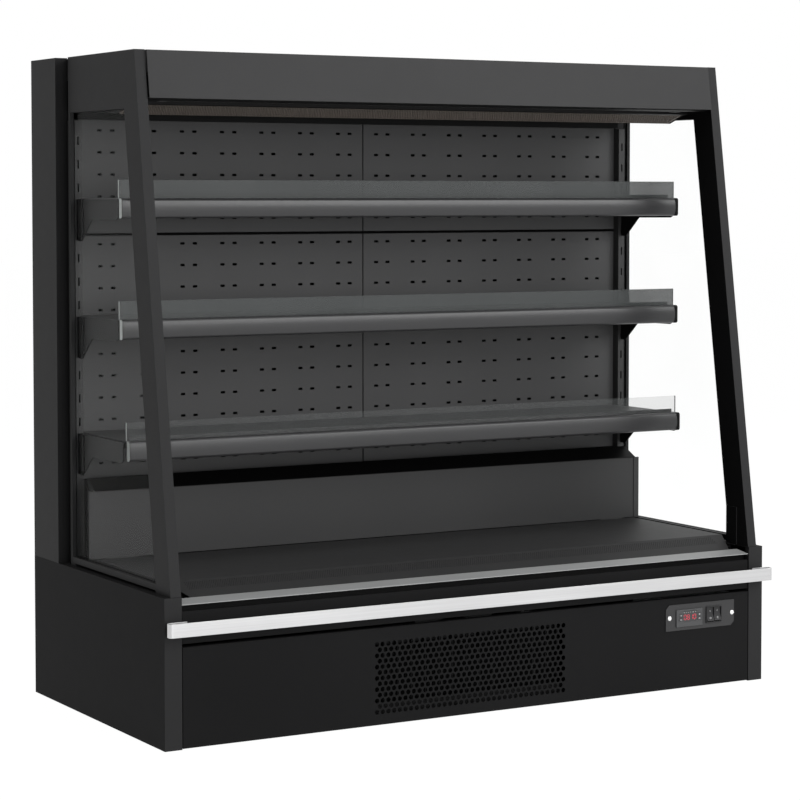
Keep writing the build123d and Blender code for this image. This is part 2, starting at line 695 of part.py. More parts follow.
# Honeycomb of the air outlet, clamped between the strip and the duct sheet
HONEYCOMB_HALF = UPRIGHT_IN
HONEYCOMB_CELLS = 20
with BuildPart() as discharge_honeycomb:
    with BuildSketch(profile_plane()):
        slab = [
            (OUTLET_FRONT, OUTLET_HIGH),
            (OUTLET_REAR, OUTLET_LOW),
            (OUTLET_REAR, OUTLET_LOW + 12),
            (OUTLET_FRONT, OUTLET_HIGH + 12),
        ]
        Polygon(*slab, align=None)
    extrude(amount=HONEYCOMB_HALF, both=True)
    with BuildSketch(plan_plane(OUTLET_LOW - 1)):
        with Locations((0, (OUTLET_FRONT + OUTLET_REAR) / 2)):
            cell_pitch = (2 * HONEYCOMB_HALF - 6) / HONEYCOMB_CELLS
            with GridLocations(cell_pitch, 1, HONEYCOMB_CELLS, 1):
                Rectangle(cell_pitch - 4, 41)
    extrude(amount=60, mode=Mode.SUBTRACT)
discharge_honeycomb.part.label = "discharge_honeycomb"
export_step(discharge_honeycomb.part, "parts/discharge_honeycomb.step")

# Lamp in its trough: the tube between two holders
LAMP_DEPTH = (TROUGH_FRONT + TROUGH_REAR) / 2
LAMP_HALF = HALF - 90
with BuildPart() as canopy_lamp:
    with BuildSketch(profile_plane()):
        with Locations((LAMP_DEPTH, FASCIA_BOTTOM + 4)):
            Circle(7)
    extrude(amount=LAMP_HALF, both=True)
    holder_z = (FASCIA_BOTTOM - 4, FASCIA_BOTTOM + 15)
    holder_depth = (LAMP_DEPTH - 9, LAMP_DEPTH + 9)
    pair_of_blocks((LAMP_HALF - 4, LAMP_HALF + 12), holder_depth, holder_z)
canopy_lamp.part.label = "canopy_lamp"
export_step(canopy_lamp.part, "parts/canopy_lamp.step")

# Side frame: inclined post, top band, bottom rail and slim rear stile, with the groove of the pane
with BuildPart() as side_frame_left:
    with BuildSketch(profile_plane(-FRAME_OUT)):
        outline = [
            (POST_FOOT, BASE_HEIGHT),
            (POST_HEAD, HEIGHT),
            (FRAME_REAR, HEIGHT),
            (FRAME_REAR, BASE_HEIGHT),
        ]
        Polygon(*outline, align=None)
        Polygon(*window_corners(0, 0), align=None, mode=Mode.SUBTRACT)
        foot_rear = POST_FOOT + POST_DEPTH + 2
        with Locations(((foot_rear + FRAME_REAR - 20) / 2, BASE_HEIGHT + 2.5)):
            Rectangle(FRAME_REAR - 20 - foot_rear, 5, mode=Mode.SUBTRACT)
    extrude(amount=FRAME_OUT - FRAME_IN)
    with BuildSketch(profile_plane(-PANE_IN - PANE - FIT)):
        Polygon(*window_corners(6, 6), align=None)
    extrude(amount=PANE + 2 * FIT, mode=Mode.SUBTRACT)
    past_upright = (-PANE_IN - FIT, -FRAME_IN + 1)
    block(past_upright, (FRAME_REAR - 20, FRAME_REAR + 1), (RAIL_TOP, WINDOW_TOP), Mode.SUBTRACT)
    rear_notch = (UPRIGHT_FRONT - FIT, FRAME_REAR + 1)
    block(past_upright, rear_notch, (BASE_HEIGHT - 1, WINDOW_TOP), Mode.SUBTRACT)
    block((-FRAME_IN, -FRAME_IN + SHEET), (40, 74), (BASE_HEIGHT + FIT, BASE_HEIGHT + 77))
side_frame_left.part.label = "side_frame_left"
export_step(side_frame_left.part, "parts/side_frame_left.step")

with BuildPart() as side_frame_right:
    mirror(side_frame_left.part, about=Plane.YZ)
side_frame_right.part.label = "side_frame_right"
export_step(side_frame_right.part, "parts/side_frame_right.step")

with BuildPart() as side_glass_left:
    with BuildSketch(profile_plane(-PANE_IN - PANE)):
        Polygon(*window_corners(6 - FIT, 6), align=None)
    extrude(amount=PANE)
side_glass_left.part.label = "side_glass_left"
export_step(side_glass_left.part, "parts/side_glass_left.step")

with BuildPart() as side_glass_right:
    mirror(side_glass_left.part, about=Plane.YZ)
side_glass_right.part.label = "side_glass_right"
export_step(side_glass_right.part, "parts/side_glass_right.step")

# Shelves. The lowest is slightly deeper and narrower than the others.
RAIL_HEIGHT = 37
RAIL_DEPTH = 13
UPSTAND_HEIGHT = 34.5
SHELF_REAR = LINER - 5
SHELVES = [
    ("bottom", LOWEST_SHELF, 231.7, HALF - 37.5),
    ("middle", LOWEST_SHELF + SHELF_PITCH, 249, HALF - 32),
    ("top", TOP_SHELF, 249, HALF - 32),
]


def rail_outline(face, level):
    """Outer section of a price rail, rounded along its front edges."""
    with BuildSketch() as outer:
        with Locations((face + RAIL_DEPTH / 2, level - RAIL_HEIGHT / 2)):
            Rectangle(RAIL_DEPTH, RAIL_HEIGHT)
        fillet(outer.vertices().group_by(Axis.X)[0], 5)
    return outer.sketch


for level_name, level, face, half in SHELVES:
    tray_front = face + RAIL_DEPTH

    with BuildPart() as shelf:
        with BuildSketch(plan_plane(level - SHEET)):
            tray = [
                (1 - half, tray_front),
                (half - 1, tray_front),
                (half - 1, UPRIGHT_FRONT - 5),
                (WELL_OUT - 8, UPRIGHT_FRONT - 5),
                (WELL_OUT - 8, SHELF_REAR),
                (8 - WELL_OUT, SHELF_REAR),
                (8 - WELL_OUT, UPRIGHT_FRONT - 5),
                (1 - half, UPRIGHT_FRONT - 5),
            ]
            Polygon(*tray, align=None)
        extrude(amount=SHEET)
        skirt = (tray_front, tray_front + SHEET)
        block((1 - half, half - 1), skirt, (level - 32, level))
        rear_fold = (SHELF_REAR - SHEET, SHELF_REAR)
        block((8 - WELL_OUT, WELL_OUT - 8), rear_fold, (level - 18, level))
        stiffener_x = (WELL_OUT - 20, WELL_OUT - 20 + SHEET)
        pair_of_blocks(stiffener_x, (tray_front, SHELF_REAR), (level - 18, level))
        bead = (face + 15 + PANE + FIT, face + 15 + PANE + FIT + SHEET)
        block((8 - WELL_OUT, WELL_OUT - 8), bead, (level, level + 7))
    shelf.part.label = "shelf_" + level_name
    export_step(shelf.part, "parts/shelf_" + level_name + ".step")

    with BuildPart() as price_rail:
        with BuildSketch(profile_plane()) as rail_section:
            add(rail_outline(face, level))
            offset(amount=-SHEET, mode=Mode.SUBTRACT)
        extrude(amount=half - 1.5, both=True)
    price_rail.part.label = "price_rail_" + level_name
    export_step(price_rail.part, "parts/price_rail_" + level_name + ".step")

    with BuildPart() as rail_caps:
        for x in (-half, half - 1.5):
            with BuildSketch(profile_plane(x)):
                add(rail_outline(face, level))
            extrude(amount=1.5)
        with BuildSketch(profile_plane()) as plug:
            with Locations((face + RAIL_DEPTH / 2 + 1, level - RAIL_HEIGHT / 2)):
                Rectangle(RAIL_DEPTH - 6, RAIL_HEIGHT - 12)
        extrude(amount=half - 1, both=True)
        block((8 - half, half - 8), (face - 1, face + 20), (level - 50, level + 9), Mode.SUBTRACT)
    rail_caps.part.label = "rail_caps_" + level_name
    export_step(rail_caps.part, "parts/rail_caps_" + level_name + ".step")

    with BuildPart() as glass_upstand:
        block((-half + 0.7, half - 0.7), (face + 15, face + 15 + PANE), (level, level + UPSTAND_HEIGHT))
    glass_upstand.part.label = "glass_upstand_" + level_name
    export_step(glass_upstand.part, "parts/glass_upstand_" + level_name + ".step")


def bracket_outline(front, level):
    """Side view of a shelf bracket with its two hooks behind the face of the upright."""
    rear = UPRIGHT_FRONT - FIT
    behind = UPRIGHT_FRONT + STOUT + FIT
    outline = [
        (front, level - 2),
        (front, level - 36),
        (front + 12, level - 41),
        (rear - 65, level - 42),
        (rear - 17, level - 82),
        (rear, level - 82),
    ]
    for hook in (level - HOOK_DROP, level - HOOK_DROP + HOOK_STEP):
        outline += [
            (rear, hook - 4),
            (behind, hook - 4),
            (behind, hook - 12),
            (behind + 4, hook - 8),
            (behind + 4, hook + 4),
            (rear, hook + 4),
        ]
    return outline + [(rear, level - 2)]


# Brackets: a plate with two hooks, a doubler at the root and the flange that carries the shelf
with BuildPart() as shelf_brackets:
    for _, level, face, _ in SHELVES:
        with BuildSketch(profile_plane(BRACKET_IN)):
            Polygon(*bracket_outline(face + RAIL_DEPTH + 2, level), align=None)
        extrude(amount=STOUT)
        with BuildSketch(profile_plane(BRACKET_IN + STOUT)):
            root = UPRIGHT_FRONT - FIT
            doubler = [
                (root - 25, level - 2),
                (root - 25, level - 72),
                (root - 15, level - 80),
                (root, level - 80),
                (root, level - 2),
            ]
            Polygon(*doubler, align=None)
        extrude(amount=3)
        flange_depth = (face + RAIL_DEPTH + 3, UPRIGHT_FRONT - 6)
        flange_z = (level - SHEET - STOUT, level - SHEET)
        block((BRACKET_IN - 20, BRACKET_IN + STOUT), flange_depth, flange_z)
    mirror(about=Plane.YZ)
shelf_brackets.part.label = "shelf_brackets"
export_step(shelf_brackets.part, "parts/shelf_brackets.step")

# Control plate with two clipped corners, screwed to the front panel
PLATE_X = (CONTROL_EDGE - 168.9, CONTROL_EDGE)
PLATE_Z = (CONTROL_LEVEL - 24, CONTROL_LEVEL + 28)
with BuildPart() as control_plate:
    with BuildSketch(front_plane(-STOUT)):
        plate = [
            (PLATE_X[0], PLATE_Z[0]),
            (PLATE_X[1] - 8, PLATE_Z[0]),
            (PLATE_X[1], PLATE_Z[0] + 8),
            (PLATE_X[1], PLATE_Z[1]),
            (PLATE_X[0] + 8, PLATE_Z[1]),
            (PLATE_X[0], PLATE_Z[1] - 8),
        ]
        Polygon(*plate, align=None)
        add(control_cutouts(), mode=Mode.SUBTRACT)
    extrude(amount=-STOUT)
control_plate.part.label = "control_plate"
export_step(control_plate.part, "parts/control_plate.step")

# Controller: bezel with the display recess and four key pockets, body through the panel
KEY_WIDTH = 9
KEY_HEIGHT = 6
KEY_LEFT = CONTROLLER_X[0] + 10.4
KEY_RIGHT = CONTROLLER_X[1] - 8.2
KEY_HIGH = CONTROL_LEVEL + 5.8
KEY_LOW = CONTROL_LEVEL - 2.5
BEZEL_FRONT = -5
with BuildPart() as controller:
    block(CONTROLLER_X, (BEZEL_FRONT, -STOUT), CONTROLLER_Z)
    chamfer(controller.faces().sort_by(Axis.Y)[0].edges(), 0.8)
    body_x = (CONTROLLER_X[0] + COLLAR + FIT, CONTROLLER_X[1] - COLLAR - FIT)
    body_z = (CONTROLLER_Z[0] + COLLAR + FIT, CONTROLLER_Z[1] - COLLAR - FIT)
    block(body_x, (-STOUT, 55), body_z)
    with BuildSketch(front_plane(BEZEL_FRONT)):
        with Locations(*[(x, z) for x in (KEY_LEFT, KEY_RIGHT) for z in (KEY_LOW, KEY_HIGH)]):
            Rectangle(KEY_WIDTH + 2 * FIT, KEY_HEIGHT + 2 * FIT)
    extrude(amount=-2.4, mode=Mode.SUBTRACT)
    with BuildSketch(front_plane(BEZEL_FRONT)):
        with Locations(((KEY_LEFT + KEY_RIGHT) / 2, CONTROL_LEVEL + 3.5)):
            Rectangle(33, 22)
    extrude(amount=-0.8, mode=Mode.SUBTRACT)
controller.part.label = "controller"
export_step(controller.part, "parts/controller.step")

KEYS = [
    ("key_up", KEY_LEFT, KEY_HIGH),
    ("key_down", KEY_LEFT, KEY_LOW),
    ("key_set", KEY_RIGHT, KEY_HIGH),
    ("key_defrost", KEY_RIGHT, KEY_LOW),
]
for key_name, x, z in KEYS:
    with BuildPart() as key:
        key_x = (x - KEY_WIDTH / 2, x + KEY_WIDTH / 2)
        key_z = (z - KEY_HEIGHT / 2, z + KEY_HEIGHT / 2)
        block(key_x, (BEZEL_FRONT - 0.6, BEZEL_FRONT + 1.5), key_z)
        chamfer(key.faces().sort_by(Axis.Y)[0].edges(), 0.5)
    key.part.label = key_name
    export_step(key.part, "parts/" + key_name + ".step")

# Double switch: bezel and body with two pockets
POCKET_X = (DIVIDER / 2, DIVIDER / 2 + ROCKER_WIDTH + 2 * FIT)
SWITCH_BOTTOM = PIVOT_DEPTH + 9
with BuildPart() as rocker_bezel:
    with BuildSketch(front_plane(-4.5)):
        with Locations((SWITCH_X, SWITCH_Z)):
            RectangleRounded(2 * BEZEL_WIDE, 2 * BEZEL_TALL, 1.5)
    extrude(amount=-2.5)
    body_x = (SWITCH_X - BODY_WIDE, SWITCH_X + BODY_WIDE)
    block(body_x, (-STOUT, 20), (SWITCH_Z - BODY_TALL, SWITCH_Z + BODY_TALL))
    for x in (SWITCH_X + POCKET_X[0], SWITCH_X - POCKET_X[1]):
        pocket_x = (x, x + POCKET_X[1] - POCKET_X[0])
        pocket_z = (SWITCH_Z - POCKET_TALL, SWITCH_Z + POCKET_TALL)
        block(pocket_x, (-5, SWITCH_BOTTOM), pocket_z, Mode.SUBTRACT)
rocker_bezel.part.label = "rocker_bezel"
export_step(rocker_bezel.part, "parts/rocker_bezel.step")


def rocker_profile():
    """Side view of a rocker about its pivot: shallow valley in front, rounded keel behind."""
    with BuildSketch() as profile:
        with BuildLine():
            Polyline((2.5, -ROCKER_TALL), (-6, -ROCKER_TALL), (-4.2, 0))
            Polyline((-4.2, 0), (-6, ROCKER_TALL), (2.5, ROCKER_TALL))
            ThreePointArc((2.5, ROCKER_TALL), (7.5, 0), (2.5, -ROCKER_TALL))
        make_face()
    return profile.sketch


for side_name, start in (("left", -POCKET_X[1] + FIT), ("right", POCKET_X[0] + FIT)):
    pivot = (SWITCH_X + start, FRONT + PIVOT_DEPTH, SWITCH_Z)
    lean = radians(ROCKER_TILT)
    tilted = Plane(origin=pivot, x_dir=(0, cos(lean), -sin(lean)), z_dir=(1, 0, 0))
    with BuildPart() as rocker:
        with BuildSketch(tilted):
            add(rocker_profile())
        extrude(amount=ROCKER_WIDTH)
    rocker.part.label = "rocker_" + side_name
    export_step(rocker.part, "parts/rocker_" + side_name + ".step")

# Two domed screws of the control plate
with BuildPart() as plate_screws:
    with BuildSketch(front_plane(-STOUT)):
        with Locations(*[(x, SCREW_Z) for x in SCREW_X]):
            Circle(5)
    extrude(amount=3)
    chamfer(plate_screws.edges().group_by(Axis.Y)[0], 1.6, 2.4)
    with BuildSketch(front_plane(-STOUT)):
        with Locations(*[(x, SCREW_Z) for x in SCREW_X]):
            Circle(2)
    extrude(amount=-8)
plate_screws.part.label = "plate_screws"
export_step(plate_screws.part, "parts/plate_screws.step")

# Box behind the controls, open to the panel
BOX_TOP = PANEL_TOP - SHEET
BOX_BOTTOM = CONTROL_LEVEL - 47
with BuildPart() as electrical_box:
    with BuildSketch(front_plane(SHEET)):
        with Locations((sum(PLATE_X) / 2, (BOX_BOTTOM + BOX_TOP) / 2)):
            Rectangle(PLATE_X[1] - PLATE_X[0] + 14, BOX_TOP - BOX_BOTTOM)
    extrude(amount=-100)
    offset(amount=-SHEET, openings=electrical_box.faces().sort_by(Axis.Y)[0])
electrical_box.part.label = "electrical_box"
export_step(electrical_box.part, "parts/electrical_box.step")

# Condensing unit behind the grille: coil, fan and compressor on the floor pan
with BuildPart() as condenser:
    finned_coil(GRILLE_X, (22, 62), GRILLE_Z, (34, 50), 30, BENCH)
condenser.part.label = "condenser"
export_step(condenser.part, "parts/condenser.step")

with BuildPart() as condenser_fan_frame:
    reach = CONDENSER_FAN * 0.96
    fan_housing(CONDENSER_FAN_X, CONDENSER_FAN_Z, 68, CONDENSER_FAN, 40, reach)
condenser_fan_frame.part.label = "condenser_fan_frame"
export_step(condenser_fan_frame.part, "parts/condenser_fan_frame.step")

large_blade = fan_blade(22, CONDENSER_FAN * 0.43, 34, 30)
with BuildPart(rotor_plane(CONDENSER_FAN_X, 84, CONDENSER_FAN_Z)) as condenser_fan_rotor:
    Cylinder(25, 18)
    with PolarLocations(0, 5):
        add(large_blade)
    Cylinder(3 + FIT, 24, mode=Mode.SUBTRACT)
condenser_fan_rotor.part.label = "condenser_fan_rotor"
export_step(condenser_fan_rotor.part, "parts/condenser_fan_rotor.step")

with BuildPart() as compressor:
    with Locations((COMPRESSOR[0], FRONT + COMPRESSOR[1], BENCH + 14)):
        shell_base = (Align.CENTER, Align.CENTER, Align.MIN)
        Cylinder(82, SHELL_HEIGHT - 40, align=shell_base)
        with Locations((0, 0, SHELL_HEIGHT - 40)):
            Cone(82, 66, 26, align=shell_base)
        with Locations((0, 0, SHELL_HEIGHT - 14)):
            Cone(66, 34, 14, align=shell_base)
    with BuildSketch(plan_plane(BENCH + 10)):
        with Locations(COMPRESSOR):
            Rectangle(220, 130)
    extrude(amount=4)
    with BuildSketch(plan_plane(BENCH)):
        with Locations(COMPRESSOR):
            with GridLocations(190, 100, 2, 2):
                RegularPolygon(10, 6)
    extrude(amount=10)
compressor.part.label = "compressor"
export_step(compressor.part, "parts/compressor.step")

# Tray which evaporates the melt water
with BuildPart() as evaporation_tray:
    with BuildSketch(plan_plane(BENCH)):
        with Locations((DRAIN_X, 220)):
            RectangleRounded(300, 320, 20)
    extrude(amount=60)
    offset(amount=-STOUT, openings=evaporation_tray.faces().sort_by(Axis.Z)[-1])
evaporation_tray.part.label = "evaporation_tray"
export_step(evaporation_tray.part, "parts/evaporation_tray.step")
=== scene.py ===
import json
import math

import bmesh
import bpy
from bpy.props import FloatProperty, FloatVectorProperty, IntProperty, PointerProperty
from bpy.types import Operator, Panel, PropertyGroup
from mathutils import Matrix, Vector

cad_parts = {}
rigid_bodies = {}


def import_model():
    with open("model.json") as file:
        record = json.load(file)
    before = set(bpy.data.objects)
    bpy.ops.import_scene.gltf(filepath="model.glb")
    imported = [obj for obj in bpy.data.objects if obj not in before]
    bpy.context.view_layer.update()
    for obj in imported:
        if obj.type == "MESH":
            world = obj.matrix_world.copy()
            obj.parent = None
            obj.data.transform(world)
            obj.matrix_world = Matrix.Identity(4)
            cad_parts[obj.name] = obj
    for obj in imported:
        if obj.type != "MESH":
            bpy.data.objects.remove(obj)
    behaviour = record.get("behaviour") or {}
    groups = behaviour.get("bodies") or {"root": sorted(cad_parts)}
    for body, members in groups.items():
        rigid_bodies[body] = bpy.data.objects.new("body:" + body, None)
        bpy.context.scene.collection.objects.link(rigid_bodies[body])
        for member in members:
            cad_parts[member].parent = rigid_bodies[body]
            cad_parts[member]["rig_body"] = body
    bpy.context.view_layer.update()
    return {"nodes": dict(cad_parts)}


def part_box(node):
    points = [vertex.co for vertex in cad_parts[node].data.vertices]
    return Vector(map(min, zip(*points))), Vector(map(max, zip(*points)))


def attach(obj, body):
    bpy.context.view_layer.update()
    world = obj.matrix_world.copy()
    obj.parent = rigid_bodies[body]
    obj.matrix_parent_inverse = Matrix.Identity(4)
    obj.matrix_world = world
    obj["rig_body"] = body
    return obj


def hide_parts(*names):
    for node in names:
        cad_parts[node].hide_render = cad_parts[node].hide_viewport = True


bl_info = {
    "name": "Display fridge dressing",
    "version": (1, 0, 0),
    "blender": (4, 5, 0),
    "location": "3D View > Sidebar > Fridge",
    "description": "Fine sheet work, controls and finishes of an open multideck display fridge",
    "category": "Object",
}

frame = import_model()

MM = 0.001
SHEET = 1.5 * MM

# Turn that stands a flat shape up, so that it faces the front
UPRIGHT = (math.pi / 2, 0, 0)

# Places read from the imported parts, in metres
PANEL_LOW, PANEL_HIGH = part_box("front_panel")
LINER_LOW, LINER_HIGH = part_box("back_panels")
RETURN_LOW, RETURN_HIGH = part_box("return_grille")
HONEYCOMB_LOW, HONEYCOMB_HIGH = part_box("discharge_honeycomb")
CONTROLLER_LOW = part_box("controller")[0]
SCREWS_LOW, SCREWS_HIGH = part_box("plate_screws")
BASE_FRONT = PANEL_LOW.y
LEVELS = ("bottom", "middle", "top")

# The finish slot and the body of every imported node
SLOT_OF = {name: node.data.materials[0].name for name, node in frame["nodes"].items()}
BODY_OF = {name: node["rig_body"] for name, node in frame["nodes"].items()}

# Service panel: the level of its grille, how much smaller its cut-outs are than the controls,
# and the front upstand of the tray, which stands over the lip of the panel
GRILLE_LEVEL = 89.25 * MM
CUT_OUT_LAP = 1 * MM
UPSTAND_HEIGHT = 28 * MM

# The return sheet starts this far over the foot of its place, and it is narrower by this at both
# ends of its front edge
RETURN_FOOT_FALL = 7 * MM
RETURN_CORNER = 26 * MM

# Its holes: the two side margins together, the rows, and the share of the slope where their
# middle is; then how far the folds at its foot and its top fall
RETURN_MARGIN = 14 * MM
RETURN_ROWS = 7
RETURN_HOLES_UP = 0.66
RETURN_FOLDS = (6.5 * MM, 13 * MM)

# Rear liner: the seam between its pans and half its gap, the depth of the pans, and the pairs of
# slots of the right half
LINER_SEAM = 909 * MM
SEAM_HALF = 2.5 * MM
PAN_DEPTH = 24 * MM
SLOT_COLUMNS = 7
SLOT_PITCH = 87.2 * MM
SLOT_PAIR = 27 * MM
SLOT_START = 31 * MM
SLOT_CORNER = 1.6 * MM

# Honeycomb: how far it falls to the back, its walls, its two borders together and its depth
COMB_FALL = 16 * MM
COMB_WALL = 0.9 * MM
COMB_BORDER = 2 * MM
COMB_DEPTH = 11.5 * MM

# Fins of the coil: their gauge and their distance from its sides, in X, Y and Z
FIN_GAUGE = 0.4 * MM
FIN_MARGIN = Vector((6, 1, 12)) * MM

# End pieces of the price rails: their length, and how far they stand out around the rail
RAIL_END = 5 * MM
RAIL_END_SKIN = 0.25 * MM


class FridgeSizes(PropertyGroup):
    """Sizes of the fine sheet work, which a user may change."""

    grille_hole: FloatProperty(
        name="Grille hole", description="Diameter of a hole of the condenser grille",
        default=9.3 * MM, unit="LENGTH")
    grille_pitch: FloatProperty(
        name="Grille pitch", description="Distance between two holes in a row of the grille",
        default=12.2 * MM, unit="LENGTH")
    return_hole: FloatProperty(
        name="Return hole", description="Diameter of a hole of the air return sheet",
        default=2.4 * MM, unit="LENGTH")
    return_pitch: FloatProperty(
        name="Return pitch", description="Distance between two holes of the air return sheet",
        default=4.6 * MM, unit="LENGTH")
    slot_width: FloatProperty(
        name="Slot width", description="Width of an air slot of the rear liner",
        default=10 * MM, unit="LENGTH")
    slot_height: FloatProperty(
        name="Slot height", description="Height of an air slot of the rear liner",
        default=5 * MM, unit="LENGTH")
    slot_row_pitch: FloatProperty(
        name="Slot row pitch", description="Distance between two rows of air slots",
        default=42.5 * MM, unit="LENGTH")
    honeycomb_cell: FloatProperty(
        name="Honeycomb cell", description="Width across flats of a honeycomb cell",
        default=5.6 * MM, unit="LENGTH")
    fin_pitch: FloatProperty(
        name="Fin pitch", description="Distance between two fins of the condenser",
        default=3.6 * MM, unit="LENGTH")
    edge_break: FloatProperty(
        name="Edge break", description="Radius of the folded and cut sheet edges",
        default=0.6 * MM, unit="LENGTH")
    grille_rows: IntProperty(
        name="Grille rows", description="Rows of holes of the condenser grille", default=13, min=1)


class FridgeFinish(PropertyGroup):
    """Colours of the finishes."""

    outer_paint: FloatVectorProperty(
        name="Outer paint", description="Powder coat of base, sides and canopy",
        subtype="COLOR", size=3, default=(0.020, 0.020, 0.0205))
    inner_paint: FloatVectorProperty(
        name="Inner paint", description="Powder coat of shelves, deck and liner",
        subtype="COLOR", size=3, default=(0.030, 0.030, 0.0305))
    bumper: FloatVectorProperty(
        name="Bumper", description="Bright strip of the bumper",
        subtype="COLOR", size=3, default=(0.60, 0.60, 0.604))
    stainless: FloatVectorProperty(
        name="Stainless", description="Brushed nose of the base",
        subtype="COLOR", size=3, default=(0.34, 0.345, 0.345))
    digits: FloatVectorProperty(
        name="Digits", description="Lit digits of the display",
        subtype="COLOR", size=3, default=(0.62, 0.035, 0.06))


class StudioSettings(PropertyGroup):
    """Light and camera of the stage."""

    lens: FloatProperty(
        name="Lens", description="Focal length of the camera in mm", default=111.29, min=1)
    pitch: FloatProperty(
        name="Camera pitch", description="Angle of the camera below the horizon",
        default=math.radians(2.88), subtype="ANGLE")
    yaw: FloatProperty(
        name="Camera yaw", description="Turn of the camera to the right",
        default=math.radians(29.95), subtype="ANGLE")
    shift: FloatProperty(
        name="Vertical shift", description="Shift of the lens as a share of the frame",
        default=-0.1)
    softbox: FloatProperty(
        name="Softbox", description="Power of the large softbox", default=95, unit="POWER")
    overhead: FloatProperty(
        name="Overhead", description="Power of the overhead panel", default=30, unit="POWER")
    front_fill: FloatProperty(
        name="Front fill", description="Power of the wide panel in front", default=85,
        unit="POWER")
    back_fill: FloatProperty(
        name="Back fill", description="Power of the panel behind", default=60, unit="POWER")
    fill: FloatProperty(
        name="World fill", description="Strength of the even fill from all sides", default=0.2)


# Selecting and shaping


def object_mode():
    """Leave edit mode and deselect everything."""
    if bpy.context.object and bpy.context.object.mode != "OBJECT":
        bpy.ops.object.mode_set(mode="OBJECT")
    bpy.ops.object.select_all(action="DESELECT")


def only(piece):
    """Select one piece and make it the active one."""
    object_mode()
    piece.select_set(True)
    bpy.context.view_layer.objects.active = piece


def edit(piece, kind="FACE"):
    """Open one piece in edit mode with nothing selected."""
    only(piece)
    bpy.ops.object.mode_set(mode="EDIT")
    bpy.ops.mesh.select_mode(type=kind)
    bpy.ops.mesh.select_all(action="DESELECT")


def edit_all(piece, kind="FACE"):
    """Open one piece in edit mode with everything selected."""
    edit(piece, kind)
    bpy.ops.mesh.select_all(action="SELECT")


def pick_edges(piece, wanted):
    """Select the edges whose two ends both pass the test; the piece is in edit mode."""
    bpy.ops.mesh.select_mode(type="EDGE")
    mesh = bmesh.from_edit_mesh(piece.data)
    for edge in mesh.edges:
        edge.select_set(all(wanted(corner.co) for corner in edge.verts))
    bmesh.update_edit_mesh(piece.data)


def apply_modifier(piece, kind, **settings):
    """Add a modifier with these settings and apply it."""
    only(piece)
    modifier = piece.modifiers.new(kind.title(), kind)
    for name, value in settings.items():
        setattr(modifier, name, value)
    bpy.ops.object.modifier_apply(modifier=modifier.name)


def settle(piece, name):
    """Apply the piece's place, so that its object sits at the origin, and name it."""
    only(piece)
    bpy.ops.object.transform_apply(location=True, rotation=True, scale=True)
    piece.name = name
    piece.data.name = name
    return piece


def join(pieces, name):
    """Join pieces to one."""
    object_mode()
    for piece in pieces:
        piece.select_set(True)
    bpy.context.view_layer.objects.active = pieces[0]
    bpy.ops.object.join()
    return settle(bpy.context.object, name)


def outward(piece):
    """Merge doubles and turn all faces outwards."""
    edit_all(piece)
    bpy.ops.mesh.remove_doubles(threshold=0.00001)
    bpy.ops.mesh.normals_make_consistent(inside=False)
    object_mode()


def flat_disc(centre, width, height, corners, fill="NGON"):
    """Flat shape of that many corners facing the front, filled or as a closed loop of edges."""
    object_mode()
    bpy.ops.mesh.primitive_circle_add(
        vertices=corners, radius=width / 2, fill_type=fill, location=centre, rotation=UPRIGHT)
    disc = bpy.context.object
    disc.scale = (1, height / width, 1)
    return settle(disc, "disc")


def outline_loop(centre, width, height, corners=4):
    """Closed loop of edges facing the front: a rectangle, or a round hole of that many corners."""
    if corners != 4:
        return flat_disc(centre, width, height, corners, "NOTHING")
    object_mode()
    bpy.ops.mesh.primitive_plane_add(size=1, location=centre, rotation=UPRIGHT)
    loop = bpy.context.object
    loop.scale = (width, height, 1)
    settle(loop, "loop")
    edit_all(loop)
    bpy.ops.mesh.delete(type="ONLY_FACE")
    object_mode()
    return loop


def repeat(piece, count, step):
    """Repeat a piece in a row."""
    apply_modifier(
        piece, "ARRAY", count=count, use_relative_offset=False,
        use_constant_offset=True, constant_offset_displace=step)


def copy_of(piece, move=(0, 0, 0)):
    """Copy a piece with its own mesh and move the copy."""
    only(piece)
    bpy.ops.object.duplicate(linked=False)
    twin = bpy.context.object
    twin.location = Vector(move)
    return settle(twin, "copy")


def punched_sheet(loops, name):
    """Fill the flat area between the outer loop and the holes, facing the front."""
    sheet = join(loops, name)
    edit_all(sheet, "EDGE")
    bpy.ops.mesh.fill(use_beauty=True)
    object_mode()
    face_to(sheet, (0, -1, 0))
    return sheet


def face_to(piece, direction):
    """Turn a flat sheet's faces towards a direction."""
    edit(piece)
    mesh = bmesh.from_edit_mesh(piece.data)
    for face in mesh.faces:
        face.select_set(face.normal.dot(Vector(direction)) < 0)
    bmesh.update_edit_mesh(piece.data)
    bpy.ops.mesh.flip_normals()
    object_mode()


def staggered_holes(centre, hole, pitch, columns, rows, corners):
    """Rows of round holes, every second row moved by half a pitch and one hole shorter."""
    row_pitch = pitch * math.sqrt(3) / 2
    left = centre.x - (columns - 1) * pitch / 2
    top = centre.z + (rows - 1) * row_pitch / 2
    first = outline_loop((left, centre.y, top), hole, hole, corners)
    second = copy_of(first, (pitch / 2, 0, -row_pitch))
    for loop, row_columns, row_count in (
        (first, columns, (rows + 1) // 2),
        (second, columns - 1, rows // 2),
    ):
        repeat(loop, row_columns, (pitch, 0, 0))
        repeat(loop, row_count, (0, 0, -2 * row_pitch))
    return [first, second]


def smooth_folds(piece):
    """Shade folds and round runs smoothly while the flat faces stay flat."""
    only(piece)
    bpy.ops.object.shade_smooth_by_angle(angle=math.radians(46))
    apply_modifier(piece, "WEIGHTED_NORMAL", mode="FACE_AREA", weight=100, keep_sharp=True)


